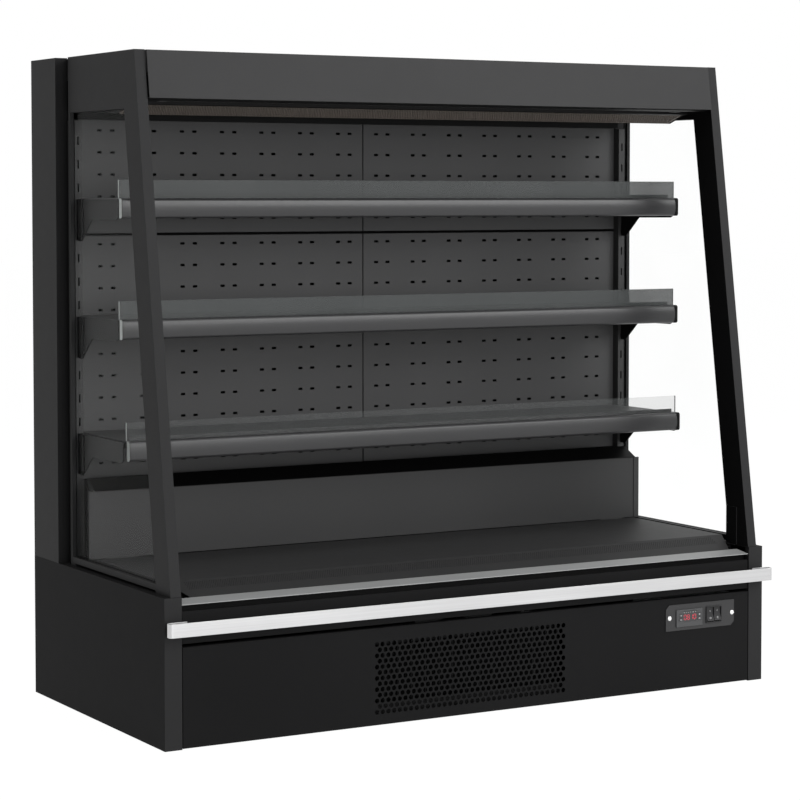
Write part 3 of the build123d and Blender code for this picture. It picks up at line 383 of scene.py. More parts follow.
def loose_copy(node, name):
    """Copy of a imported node, free of its body; it stays in edit mode with everything selected."""
    twin = settle(copy_of(frame["nodes"][node]), name)
    for key in list(twin.keys()):
        del twin[key]
    twin.parent = None
    edit_all(twin)
    bpy.ops.mesh.remove_doubles(threshold=0.000002)
    return twin


def soft_edged(node, width):
    """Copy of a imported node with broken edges, which stands for it."""
    twin = loose_copy(node, node + "_finished")
    bpy.ops.mesh.dissolve_limited(angle_limit=math.radians(1))
    object_mode()
    apply_modifier(
        twin, "BEVEL", width=width, segments=2, limit_method="ANGLE",
        angle_limit=math.radians(35), loop_slide=False)
    smooth_folds(twin)
    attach(twin, BODY_OF[node])
    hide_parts(node)


def slot_loop(centre, width, height, corner):
    """Closed loop of a slot with rounded corners, facing the front."""
    loop = outline_loop(centre, width, height)
    edit_all(loop, "VERT")
    bpy.ops.mesh.bevel(offset=corner, segments=2, affect="VERTICES")
    object_mode()
    return loop


def rim_back(sheet, low, high, depth):
    """Fold the outer edges of a sheet backwards and break the folds."""
    def on_outline(corner):
        beside = min(abs(corner.x - low.x), abs(corner.x - high.x))
        above = min(abs(corner.z - low.z), abs(corner.z - high.z))
        return min(beside, above) < 0.00001

    edit(sheet, "EDGE")
    pick_edges(sheet, on_outline)
    bpy.ops.mesh.extrude_edges_move(TRANSFORM_OT_translate={"value": (0, depth, 0)})
    front = low.y + 0.00001
    pick_edges(sheet, lambda corner: on_outline(corner) and corner.y < front)
    bpy.ops.mesh.bevel(offset=0.8 * MM, segments=3, affect="EDGES", clamp_overlap=True)
    object_mode()


def thicken(sheet):
    """Give a sheet its thickness on its back and smooth its folds."""
    apply_modifier(sheet, "SOLIDIFY", thickness=SHEET, offset=-1)
    smooth_folds(sheet)


def stands_for(piece, body, *nodes):
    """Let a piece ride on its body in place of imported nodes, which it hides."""
    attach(piece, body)
    if nodes:
        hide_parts(*nodes)


class FRIDGE_OT_service_panel(Operator):
    """Service panel of the base with its finely punched condenser grille"""

    bl_idname = "fridge.service_panel"
    bl_label = "Service panel"

    def execute(self, context):
        sizes = context.scene.fridge_sizes
        low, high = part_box("condenser")
        middle = (PANEL_LOW + PANEL_HIGH) / 2
        grille = Vector(((low.x + high.x) / 2, BASE_FRONT, GRILLE_LEVEL))
        columns = round((high.x - low.x) / sizes.grille_pitch) + 1
        loops = staggered_holes(
            grille, sizes.grille_hole, sizes.grille_pitch, columns, sizes.grille_rows, 10)
        width = PANEL_HIGH.x - PANEL_LOW.x
        height = PANEL_HIGH.z - PANEL_LOW.z
        loops.append(outline_loop((middle.x, BASE_FRONT, middle.z), width, height))
        for node in ("controller", "rocker_bezel"):
            low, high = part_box(node)
            place = ((low.x + high.x) / 2, BASE_FRONT, (low.z + high.z) / 2)
            loops.append(outline_loop(
                place, high.x - low.x - CUT_OUT_LAP, high.z - low.z - CUT_OUT_LAP))
        panel = punched_sheet(loops, "service_panel")
        rim_back(panel, PANEL_LOW, PANEL_HIGH, PANEL_HIGH.y - PANEL_LOW.y)
        edit(panel, "EDGE")
        rear_foot = Vector((0, PANEL_HIGH.y - 0.1 * MM, PANEL_LOW.z + 0.1 * MM))
        pick_edges(
            panel, lambda corner: corner.y > rear_foot.y and corner.z < rear_foot.z)
        lip_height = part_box("base_tray")[1].z - UPSTAND_HEIGHT - PANEL_LOW.z
        bpy.ops.mesh.extrude_edges_move(TRANSFORM_OT_translate={"value": (0, 0, lip_height)})
        object_mode()
        thicken(panel)
        stands_for(panel, "cabinet", "front_panel")
        return {"FINISHED"}


class FRIDGE_OT_air_return(Operator):
    """Sloping air return sheet with rows of small holes behind the nose"""

    bl_idname = "fridge.air_return"
    bl_label = "Air return"

    def execute(self, context):
        sizes = context.scene.fridge_sizes
        foot = Vector((0, RETURN_LOW.y, RETURN_LOW.z + RETURN_FOOT_FALL))
        run = RETURN_HIGH.y - foot.y
        rise = RETURN_HIGH.z - foot.z
        slope = math.hypot(run, rise)
        lean = math.atan2(run, rise)
        width = RETURN_HIGH.x - RETURN_LOW.x
        foot_width = width - 2 * RETURN_CORNER
        columns = int((foot_width - RETURN_MARGIN) / sizes.return_pitch)
        loops = staggered_holes(
            Vector((0, 0, slope * RETURN_HOLES_UP)), sizes.return_hole, sizes.return_pitch,
            columns, RETURN_ROWS, 6)
        outline = outline_loop((0, 0, slope / 2), width, slope)
        edit(outline, "EDGE")
        pick_edges(outline, lambda corner: corner.z < slope / 2)
        bpy.ops.transform.resize(value=(foot_width / width, 1, 1), center_override=(0, 0, 0))
        loops.append(outline)
        sheet = punched_sheet(loops, "air_return_sheet")
        edit(sheet)
        for edge_z, fall in zip((0, slope), RETURN_FOLDS):
            pick_edges(sheet, lambda corner: abs(corner.z - edge_z) < 0.00001)
            down = (0, fall * math.sin(lean), -fall * math.cos(lean))
            bpy.ops.mesh.extrude_edges_move(TRANSFORM_OT_translate={"value": down})
        object_mode()
        sheet.rotation_euler = (-lean, 0, 0)
        sheet.location = foot
        settle(sheet, "air_return_sheet")
        thicken(sheet)
        stands_for(sheet, "cabinet", "return_grille")
        return {"FINISHED"}


class FRIDGE_OT_rear_liner(Operator):
    """Four pans of the rear liner with pairs of air slots"""

    bl_idname = "fridge.rear_liner"
    bl_label = "Rear liner"

    def execute(self, context):
        sizes = context.scene.fridge_sizes
        pans = []
        for low_z, high_z, rows, top_gap in (
            (LINER_LOW.z, LINER_SEAM - SEAM_HALF, 11, 16.5 * MM),
            (LINER_SEAM + SEAM_HALF, LINER_HIGH.z, 5, 20 * MM),
        ):
            low = Vector((1 * MM, LINER_LOW.y, low_z))
            high = Vector((LINER_HIGH.x, LINER_LOW.y, high_z))
            middle = (low + high) / 2
            loops = [outline_loop(middle, high.x - low.x, high_z - low_z)]
            for step in (0, SLOT_PAIR):
                slot = slot_loop(
                    (SLOT_START + step, LINER_LOW.y, high_z - top_gap),
                    sizes.slot_width, sizes.slot_height, SLOT_CORNER)
                repeat(slot, SLOT_COLUMNS, (SLOT_PITCH, 0, 0))
                repeat(slot, rows, (0, 0, -sizes.slot_row_pitch))
                loops.append(slot)
            pan = punched_sheet(loops, "liner_pan")
            rim_back(pan, low, high, PAN_DEPTH)
            twin = copy_of(pan)
            twin.scale = (-1, 1, 1)
            settle(twin, "liner_pan")
            edit_all(twin)
            bpy.ops.mesh.normals_make_consistent(inside=False)
            object_mode()
            centre_face_to_front(twin)
            pans += [pan, twin]
        for pan in pans:
            thicken(pan)
        liner = join(pans, "rear_liner_pans")
        stands_for(liner, "cabinet", "back_panels")
        return {"FINISHED"}


def centre_face_to_front(sheet):
    """Flip a whole folded sheet when its large face looks backwards."""
    largest = max(sheet.data.polygons, key=lambda face: face.area)
    if largest.normal.y > 0:
        edit_all(sheet)
        bpy.ops.mesh.flip_normals()
        object_mode()


class FRIDGE_OT_honeycomb(Operator):
    """Honeycomb of the air curtain under the canopy"""

    bl_idname = "fridge.honeycomb"
    bl_label = "Honeycomb"

    def execute(self, context):
        sizes = context.scene.fridge_sizes
        run = HONEYCOMB_HIGH.y - HONEYCOMB_LOW.y
        slope = math.hypot(run, COMB_FALL)
        width = HONEYCOMB_HIGH.x - HONEYCOMB_LOW.x
        rows = int((slope - COMB_BORDER) / (sizes.honeycomb_cell * math.sqrt(3) / 2))
        columns = int((width - COMB_BORDER) / sizes.honeycomb_cell)
        across_corners = (sizes.honeycomb_cell - COMB_WALL) * 2 / math.sqrt(3)
        loops = staggered_holes(
            Vector((0, 0, 0)), across_corners, sizes.honeycomb_cell, columns, rows, 6)
        loops.append(outline_loop((0, 0, 0), width, slope))
        comb = punched_sheet(loops, "air_curtain_honeycomb")
        comb.rotation_euler = (math.pi / 2 - math.atan2(COMB_FALL, run), 0, 0)
        comb.location = (
            0, (HONEYCOMB_LOW.y + HONEYCOMB_HIGH.y) / 2, HONEYCOMB_LOW.z + COMB_FALL / 2)
        settle(comb, "air_curtain_honeycomb")
        face_to(comb, (0, 0, -1))
        apply_modifier(comb, "SOLIDIFY", thickness=COMB_DEPTH, offset=-1)
        stands_for(comb, "cabinet", "discharge_honeycomb")
        return {"FINISHED"}


class FRIDGE_OT_coil_fins(Operator):
    """Fine upright fins of the condenser, seen through the grille"""

    bl_idname = "fridge.coil_fins"
    bl_label = "Coil fins"

    def execute(self, context):
        pitch = context.scene.fridge_sizes.fin_pitch
        low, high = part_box("condenser")
        first = low + FIN_MARGIN
        last = high - FIN_MARGIN
        middle = (first + last) / 2
        object_mode()
        bpy.ops.mesh.primitive_cube_add(size=1, location=(first.x, middle.y, middle.z))
        fin = bpy.context.object
        fin.scale = (FIN_GAUGE, last.y - first.y, last.z - first.z)
        fins = settle(fin, "condenser_fins")
        repeat(fins, int((last.x - first.x) / pitch) + 1, (pitch, 0, 0))
        stands_for(fins, "cabinet")
        return {"FINISHED"}


class FRIDGE_OT_rail_ends(Operator):
    """Moulded end pieces which wrap the right end of the price rails"""

    bl_idname = "fridge.rail_ends"
    bl_label = "Rail ends"

    def execute(self, context):
        for level in LEVELS:
            rail = "price_rail_" + level
            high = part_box(rail)[1]
            end = loose_copy(rail, "rail_end_" + level)
            bpy.ops.mesh.bisect(
                plane_co=(high.x - RAIL_END, 0, 0), plane_no=(1, 0, 0), use_fill=True,
                clear_inner=True)
            bpy.ops.mesh.select_all(action="SELECT")
            bpy.ops.transform.shrink_fatten(value=RAIL_END_SKIN)
            object_mode()
            outward(end)
            smooth_folds(end)
            stands_for(end, BODY_OF[rail])
        return {"FINISHED"}


# Lit bars of a digit: steps to the right and up from its middle, and the turn; then a bar as its
# length, width and corners
QUARTER = math.pi / 2
BAR_PLACES = {
    "t": (0, 1, 0), "m": (0, 0, 0), "b": (0, -1, 0), "ul": (-1, 0.5, QUARTER),
    "ur": (1, 0.5, QUARTER), "ll": (-1, -0.5, QUARTER), "lr": (1, -0.5, QUARTER),
}
DIGIT_BARS = {"0": "t b ul ur ll lr", "1": "ur lr", "8": "t m b ul ur ll lr"}
DISPLAY_TEXT = "0810"
DIGIT_TALL = 9.6 * MM
DIGIT_WIDE = 5.4 * MM
DIGIT_STEP = 7.8 * MM
DIGITS_MIDDLE = Vector((480.6 * MM, CONTROLLER_LOW.y, 144 * MM))
BAR = (DIGIT_TALL * 0.44, 1.25 * MM, 6)

# The smoked window over the digits and the small signs in it with their widths, in mm
WINDOW_RISE = 0.15 * MM
WINDOW_X = (464.6 * MM, 497.4 * MM)
WINDOW_Z = (134.9 * MM, 156.3 * MM)
SIGN_LEVEL = 153.6 * MM
SIGN_HEIGHT = 1.5 * MM
WINDOW_SIGNS = (
    (466.5, 1.7), (471.5, 1.7), (476.5, 1.7), (482.5, 1.7), (488.5, 2.6), (495, 1.7))

# Key signs: width, height, corners and turn; then how far a mark stands out
OVAL = (3.8 * MM, 2.4 * MM, 16, 0)
KEY_SIGNS = {
    "key_up": (4.2 * MM, 3.4 * MM, 3, 0), "key_down": (4.2 * MM, 3.4 * MM, 3, math.pi),
    "key_set": OVAL, "key_defrost": OVAL,
}
MARK_RISE = 0.05 * MM


def thin_mark(piece, name):
    """Raise a flat mark on its surface and name it."""
    face_to(piece, (0, -1, 0))
    edit_all(piece)
    bpy.ops.mesh.extrude_region_move(TRANSFORM_OT_translate={"value": (0, -MARK_RISE, 0)})
    object_mode()
    outward(piece)
    return settle(piece, name)


def turned_disc(centre, width, height, corners, turn):
    """Filled flat shape facing the front and turned in its plane."""
    disc = flat_disc((0, 0, 0), width, height, corners)
    disc.rotation_euler = (0, turn, 0)
    disc.location = centre
    return settle(disc, "disc")


class FRIDGE_OT_display(Operator):
    """Smoked window, lit digits and small signs of the controller, and the key signs"""

    bl_idname = "fridge.display"
    bl_label = "Display"

    def execute(self, context):
        surface = CONTROLLER_LOW.y + WINDOW_RISE
        middle = (sum(WINDOW_X) / 2, surface, sum(WINDOW_Z) / 2)
        loop = slot_loop(
            middle, WINDOW_X[1] - WINDOW_X[0], WINDOW_Z[1] - WINDOW_Z[0], 0.8 * MM)
        window = punched_sheet([loop], "display_window")
        apply_modifier(window, "SOLIDIFY", thickness=0.7 * MM, offset=-1)
        stands_for(window, "cabinet")
        front = surface - 0.02 * MM
        bars = []
        for index, digit in enumerate(DISPLAY_TEXT):
            left = (index - (len(DISPLAY_TEXT) - 1) / 2) * DIGIT_STEP
            for bar_name in DIGIT_BARS[digit].split():
                x, z, turn = BAR_PLACES[bar_name]
                centre = (
                    DIGITS_MIDDLE.x + left + x * DIGIT_WIDE / 2, front,
                    DIGITS_MIDDLE.z + z * DIGIT_TALL / 2)
                bars.append(turned_disc(centre, *BAR, turn))
        signs = [
            flat_disc((x * MM, front, SIGN_LEVEL), width * MM, SIGN_HEIGHT, 8)
            for x, width in WINDOW_SIGNS]
        for marks, name in ((bars, "display_digits"), (signs, "display_signs")):
            stands_for(thin_mark(join(marks, name), name), "cabinet")
        for key, shape in KEY_SIGNS.items():
            low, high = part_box(key)
            place = ((low.x + high.x) / 2, low.y + 0.01 * MM, (low.z + high.z) / 2)
            stands_for(thin_mark(turned_disc(place, *shape), key + "_sign"), key)
        return {"FINISHED"}


# Dome of a screw: its rise, and its steps as shares of the radius inwards and of the rise
SCREW_RISE = 3 * MM
SCREW_STEPS = ((0.12, 0.3), (0.2, 0.27), (0.22, 0.14), (0.12, 0.04))


class FRIDGE_OT_plate_screws(Operator):
    """Two domed screws of the control plate"""

    bl_idname = "fridge.plate_screws"
    bl_label = "Plate screws"

    def execute(self, context):
        radius = (SCREWS_HIGH.z - SCREWS_LOW.z) / 2
        seat = SCREWS_LOW.y + SCREW_RISE
        level = (SCREWS_LOW.z + SCREWS_HIGH.z) / 2
        screw = flat_disc((SCREWS_LOW.x + radius, seat, level), 2 * radius, 2 * radius, 32)
        edit_all(screw)
        bpy.ops.mesh.extrude_region_move(
            TRANSFORM_OT_translate={"value": (0, -SCREW_RISE * 0.25, 0)})
        for inward, lift in SCREW_STEPS:
            bpy.ops.mesh.inset(thickness=radius * inward, depth=0)
            bpy.ops.transform.translate(value=(0, -SCREW_RISE * lift, 0))
        bpy.ops.mesh.inset(thickness=0.25 * MM, depth=0)
        bpy.ops.transform.translate(value=(0, 1.2 * MM, 0))
        outward(screw)
        only(screw)
        bpy.ops.object.shade_smooth_by_angle(angle=math.radians(35))
        twin = copy_of(screw, (SCREWS_HIGH.x - SCREWS_LOW.x - 2 * radius, 0, 0))
        screws = join([screw, twin], "domed_screws")
        stands_for(screws, "cabinet", "plate_screws")
        return {"FINISHED"}


# Signs of the rockers: how far they stand from the middle, the stroke and the ring
SIGN_OFFSET = 7 * MM
STROKE = (0.9 * MM, 3.6 * MM)
RING_OUTER = 4 * MM
RING_INNER = 2.6 * MM


class FRIDGE_OT_rocker_signs(Operator):
    """On and off signs of the two rockers"""

    bl_idname = "fridge.rocker_signs"
    bl_label = "Rocker signs"

    def execute(self, context):
        for rocker in ("rocker_left", "rocker_right"):
            low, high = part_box(rocker)
            x = (low.x + high.x) / 2
            z = (low.z + high.z) / 2
            front = low.y - 2 * MM
            stroke = punched_sheet(
                [outline_loop((x, front, z + SIGN_OFFSET), *STROKE)], "stroke")
            ring = punched_sheet([
                outline_loop((x, front, z - SIGN_OFFSET), size, size, 16)
                for size in (RING_OUTER, RING_INNER)], "ring")
            signs = join([stroke, ring], rocker + "_signs")
            apply_modifier(
                signs, "SHRINKWRAP", target=frame["nodes"][rocker], wrap_method="PROJECT",
                use_project_x=False, use_project_y=True, use_positive_direction=True,
                use_negative_direction=True, offset=0.03 * MM)
            stands_for(signs, rocker)
        return {"FINISHED"}


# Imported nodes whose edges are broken
SHARP_NODES = (
    "base_side_left base_side_right front_beam bumper_bar bumper_brackets front_lip "
    "canopy_fascia canopy_roof canopy_soffit side_frame_left side_frame_right "
    "column_cheek_left column_cheek_right riser_panel air_guide slotted_uprights "
    "shelf_brackets control_plate controller rocker_bezel rocker_left rocker_right deck_pan "
    "rear_cover canopy_lamp compressor"
).split() + [
    part + level
    for part in ("shelf_", "price_rail_", "rail_caps_", "glass_upstand_")
    for level in LEVELS
]

# Edges that are broken less than the usual ones, in mm
FINE_EDGE = {"controller": 0.25, **dict.fromkeys((
    "rocker_bezel", "rocker_left", "rocker_right", "control_plate", "canopy_lamp",
    *("rail_caps_" + level for level in LEVELS)), 0.3)}

# How much higher the foot of the nose ends, and how far the front of a rail draws back at its
# top and foot, in this many rows
NOSE_TRIM = 2.6 * MM
RAIL_CROWN = 3 * MM
RAIL_ROWS = 8


class FRIDGE_OT_soft_edges(Operator):
    """Broken edges on the folded sheets, rails, frames, glass strips and plastic parts"""

    bl_idname = "fridge.soft_edges"
    bl_label = "Soft edges"

    def execute(self, context):
        usual = context.scene.fridge_sizes.edge_break
        for node in SHARP_NODES:
            soft_edged(node, min(FINE_EDGE.get(node, 9) * MM, usual * 0.7))
        nose = bpy.data.objects["front_lip_finished"]
        nose_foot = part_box("front_lip")[0].z + 1 * MM
        edit(nose)
        pick_edges(nose, lambda corner: corner.z < nose_foot)
        bpy.ops.transform.translate(value=(0, 0, NOSE_TRIM))
        object_mode()
        for level in LEVELS:
            self.crown_rail("price_rail_" + level)
        return {"FINISHED"}

    def crown_rail(self, rail):
        """Curve the front wall of a rail, so that it draws back at its top and foot."""
        low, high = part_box(rail)
        middle = (low + high) / 2
        half = (high.z - low.z) / 2
        piece = bpy.data.objects[rail + "_finished"]
        edit(piece)
        for row in range(1, RAIL_ROWS):
            bpy.ops.mesh.select_all(action="SELECT")
            bpy.ops.mesh.bisect(
                plane_co=(0, 0, low.z + 2 * half * row / RAIL_ROWS), plane_no=(0, 0, 1))
        mesh = bmesh.from_edit_mesh(piece.data)
        for corner in mesh.verts:
            if corner.co.y < middle.y:
                corner.co.y += RAIL_CROWN * ((corner.co.z - middle.z) / half) ** 2
        bmesh.update_edit_mesh(piece.data)
        object_mode()
        bpy.ops.mesh.customdata_custom_splitnormals_clear()
        smooth_folds(piece)


# Finishes


# What every shader group of a skin gives
SKIN = (("Colour", "Color"), ("Roughness", "Float"), ("Height", "Float"))


def new_group(name, *more):
    """Shader group of a skin, which takes a place, a colour, a roughness and more values."""
    group = bpy.data.node_groups.new(name, "ShaderNodeTree")
    inputs = (("Place", "Vector"), *SKIN[:2], *((value, "Float") for value in more))
    for direction, sockets in (("INPUT", inputs), ("OUTPUT", SKIN)):
        for socket_name, kind in sockets:
            group.interface.new_socket(
                name=socket_name, in_out=direction, socket_type="NodeSocket" + kind)
    return group, group.nodes.new("NodeGroupInput"), group.nodes.new("NodeGroupOutput")


def give_skin(group, out, *values):
    """Link the colour, the roughness and the height that a group gives."""
    for (name, _), value in zip(SKIN, values):
        group.links.new(value, out.inputs[name])
    return group


def give(node, **values):
    """Set the sockets of a node by name."""
    for name, value in values.items():
        node.inputs[name.replace("_", " ")].default_value = value
    return node


def node_of(tree, kind, operation=None, **values):
    """Add a node and set its sockets by name."""
    node = tree.nodes.new("ShaderNode" + kind)
    if operation:
        node.operation = operation
    return give(node, **values)


def feed(tree, socket, value):
    """Give a socket a number, a colour or what another socket gives."""
    if isinstance(value, (int, float)):
        socket.default_value = value
    elif isinstance(value, tuple):
        socket.default_value = (*value, 1)
    else:
        tree.links.new(value, socket)


def math_of(tree, operation, first, second, clamp=False):
    """Add a sum, product or the like of two values, each a socket or a number."""
    node = node_of(tree, "Math", operation)
    node.use_clamp = clamp
    for index, value in enumerate((first, second)):
        feed(tree, node.inputs[index], value)
    return node.outputs[0]


def range_of(tree, value, low, high, to_low, to_high):
    """Map a value from one range to another and hold it there."""
    node = node_of(
        tree, "MapRange", From_Min=low, From_Max=high, To_Min=to_low, To_Max=to_high)
    node.clamp = True
    tree.links.new(value, node.inputs["Value"])
    return node.outputs["Result"]


def blend_colours(tree, share, first, second, blend="MIX"):
    """Mix two colours, each a socket or a colour, by a share."""
    node = node_of(tree, "Mix")
    node.data_type = "RGBA"
    node.blend_type = blend
    for index, value in ((0, share), (6, first), (7, second)):
        feed(tree, node.inputs[index], value)
    return node.outputs[2]


def noise_of(tree, place, scale, detail=2.0):
    """Add a noise on a place; its scale is a socket or a number."""
    node = node_of(tree, "TexNoise", Detail=detail)
    feed(tree, node.inputs["Scale"], scale)
    tree.links.new(place, node.inputs["Vector"])
    return node.outputs["Fac"]


def grey_times(tree, colour, strength):
    """A colour with its brightness times a value."""
    grey = node_of(tree, "CombineColor")
    for socket in grey.inputs:
        tree.links.new(strength, socket)
    return blend_colours(tree, 1.0, colour, grey.outputs[0], "MULTIPLY")


def dimmed(colour, share):
    """The same colour with its brightness times a share."""
    return tuple(value * share for value in colour)


def cloudy(tree, cloud, colour, share, low=0.3, high=0.7):
    """A colour that goes with a noise to the same colour times a share."""
    return blend_colours(
        tree, range_of(tree, cloud, low, high, 0, 1), colour, dimmed(colour, share))


def powder_coat_group():
    """Fine skin of a powder coat or moulded plastic, with uneven gloss and light dust."""
    group, given, out = new_group("powder_coat", "Grain", "Dust")
    place = given.outputs["Place"]
    skin = noise_of(group, place, given.outputs["Grain"], 3)
    cloud = noise_of(group, place, 2.6, 3)
    gloss = noise_of(group, place, 38, 4)
    up = node_of(group, "SeparateXYZ")
    group.links.new(node_of(group, "NewGeometry").outputs["Normal"], up.inputs[0])
    facing_up = range_of(group, up.outputs["Z"], 0.35, 1, 0, 1)
    settled = math_of(group, "MULTIPLY", facing_up, given.outputs["Dust"])
    dust = math_of(group, "MULTIPLY", settled, range_of(group, gloss, 0.35, 0.7, 0, 1))
    tone = range_of(group, cloud, 0.3, 0.7, 0.93, 1.07)
    fleck = range_of(group, skin, 0.3, 0.7, 0.95, 1.05)
    paint = grey_times(
        group, given.outputs["Colour"], math_of(group, "MULTIPLY", tone, fleck))
    colour = blend_colours(group, dust, paint, (0.20, 0.195, 0.185))
    uneven = range_of(group, gloss, 0.3, 0.7, -0.012, 0.012)
    rough = math_of(group, "ADD", given.outputs["Roughness"], uneven)
    rough = math_of(group, "ADD", rough, math_of(group, "MULTIPLY", dust, 0.3), clamp=True)
    return give_skin(group, out, colour, rough, skin)


def brushed_group():
    """Long fine brush lines along X on bright metal."""
    group, given, out = new_group("brushed_metal")
    stretch = node_of(group, "Mapping", Scale=(3, 900, 900))
    group.links.new(given.outputs["Place"], stretch.inputs["Vector"])
    lines = noise_of(group, stretch.outputs[0], 1.0, 2)
    cloud = noise_of(group, given.outputs["Place"], 4, 2)
    strength = math_of(
        group, "MULTIPLY", range_of(group, lines, 0.3, 0.7, 0.93, 1.04),
        range_of(group, cloud, 0.3, 0.7, 0.97, 1.03))
    colour = grey_times(group, given.outputs["Colour"], strength)
    spread = range_of(group, lines, 0.3, 0.7, -0.06, 0.06)
    rough = math_of(group, "ADD", given.outputs["Roughness"], spread, clamp=True)
    return give_skin(group, out, colour, rough, lines)


def new_material(name):
    """New material with its tree, its Principled shader and the place on the object."""
    material = bpy.data.materials.new(name)
    material.use_nodes = True
    tree = material.node_tree
    place = node_of(tree, "TexCoord").outputs["Object"]
    return material, tree, tree.nodes["Principled BSDF"], place


def mix_shaders(tree, share, first, second):
    """Make the surface of a material from two shaders by a share."""
    mix = node_of(tree, "MixShader")
    for socket, value in zip(mix.inputs, (share, first.outputs[0], second.outputs[0])):
        tree.links.new(value, socket)
    tree.links.new(mix.outputs[0], tree.nodes["Material Output"].inputs["Surface"])


def coated(name, group, colour, roughness, depth, shader_values, **group_values):
    """Material with a Principled shader whose skin comes from a shared group."""
    material, tree, shader, place = new_material(name)
    skin = node_of(tree, "Group")
    skin.node_tree = group
    tree.links.new(place, skin.inputs["Place"])
    give(skin, Colour=(*colour, 1), Roughness=roughness, **group_values)
    give(shader, **shader_values)
    bump = node_of(tree, "Bump", Strength=0.35, Distance=depth)
    tree.links.new(skin.outputs["Height"], bump.inputs["Height"])
    tree.links.new(skin.outputs["Colour"], shader.inputs["Base Color"])
    tree.links.new(skin.outputs["Roughness"], shader.inputs["Roughness"])
    tree.links.new(bump.outputs["Normal"], shader.inputs["Normal"])
    return material


def clear_glass(name, tint, roughness, index):
    """Clear glass with faint smears, which lets the light of the lamps through."""
    material, tree, shader, place = new_material(name)
    give(shader, Transmission_Weight=1, IOR=index, Roughness=roughness)
    tone = cloudy(tree, noise_of(tree, place, 9, 4), tint, 0.985, 0.45, 0.8)
    tree.links.new(tone, shader.inputs["Base Color"])
    through = node_of(tree, "BsdfTransparent", Color=(0.97, 0.975, 0.973, 1))
    path = node_of(tree, "LightPath")
    seen = math_of(tree, "MAXIMUM", path.outputs["Is Camera Ray"],
                   path.outputs["Is Transmission Ray"])
    mix_shaders(tree, math_of(tree, "SUBTRACT", 1, seen), shader, through)
    return material


def tinted_pane(name, tint, cover):
    """Smoked glass strip which covers part of what stands behind it."""
    material, tree, shader, place = new_material(name)
    give(shader, Specular_IOR_Level=0.4, Alpha=cover)
    cloud = noise_of(tree, place, 5, 2)
    tree.links.new(cloudy(tree, cloud, tint, 1.12), shader.inputs["Base Color"])
    tree.links.new(range_of(tree, cloud, 0.3, 0.7, 0.22, 0.27), shader.inputs["Roughness"])
    return material


def lit(name, colour, strength):
    """Lit segments and signs behind the window, slightly uneven."""
    material, tree, shader, place = new_material(name)
    tone = cloudy(tree, noise_of(tree, place, 400, 1), colour, 0.8)
    for socket in ("Base Color", "Emission Color"):
        tree.links.new(tone, shader.inputs[socket])
    give(shader, Emission_Strength=strength, Roughness=0.4)
    return material


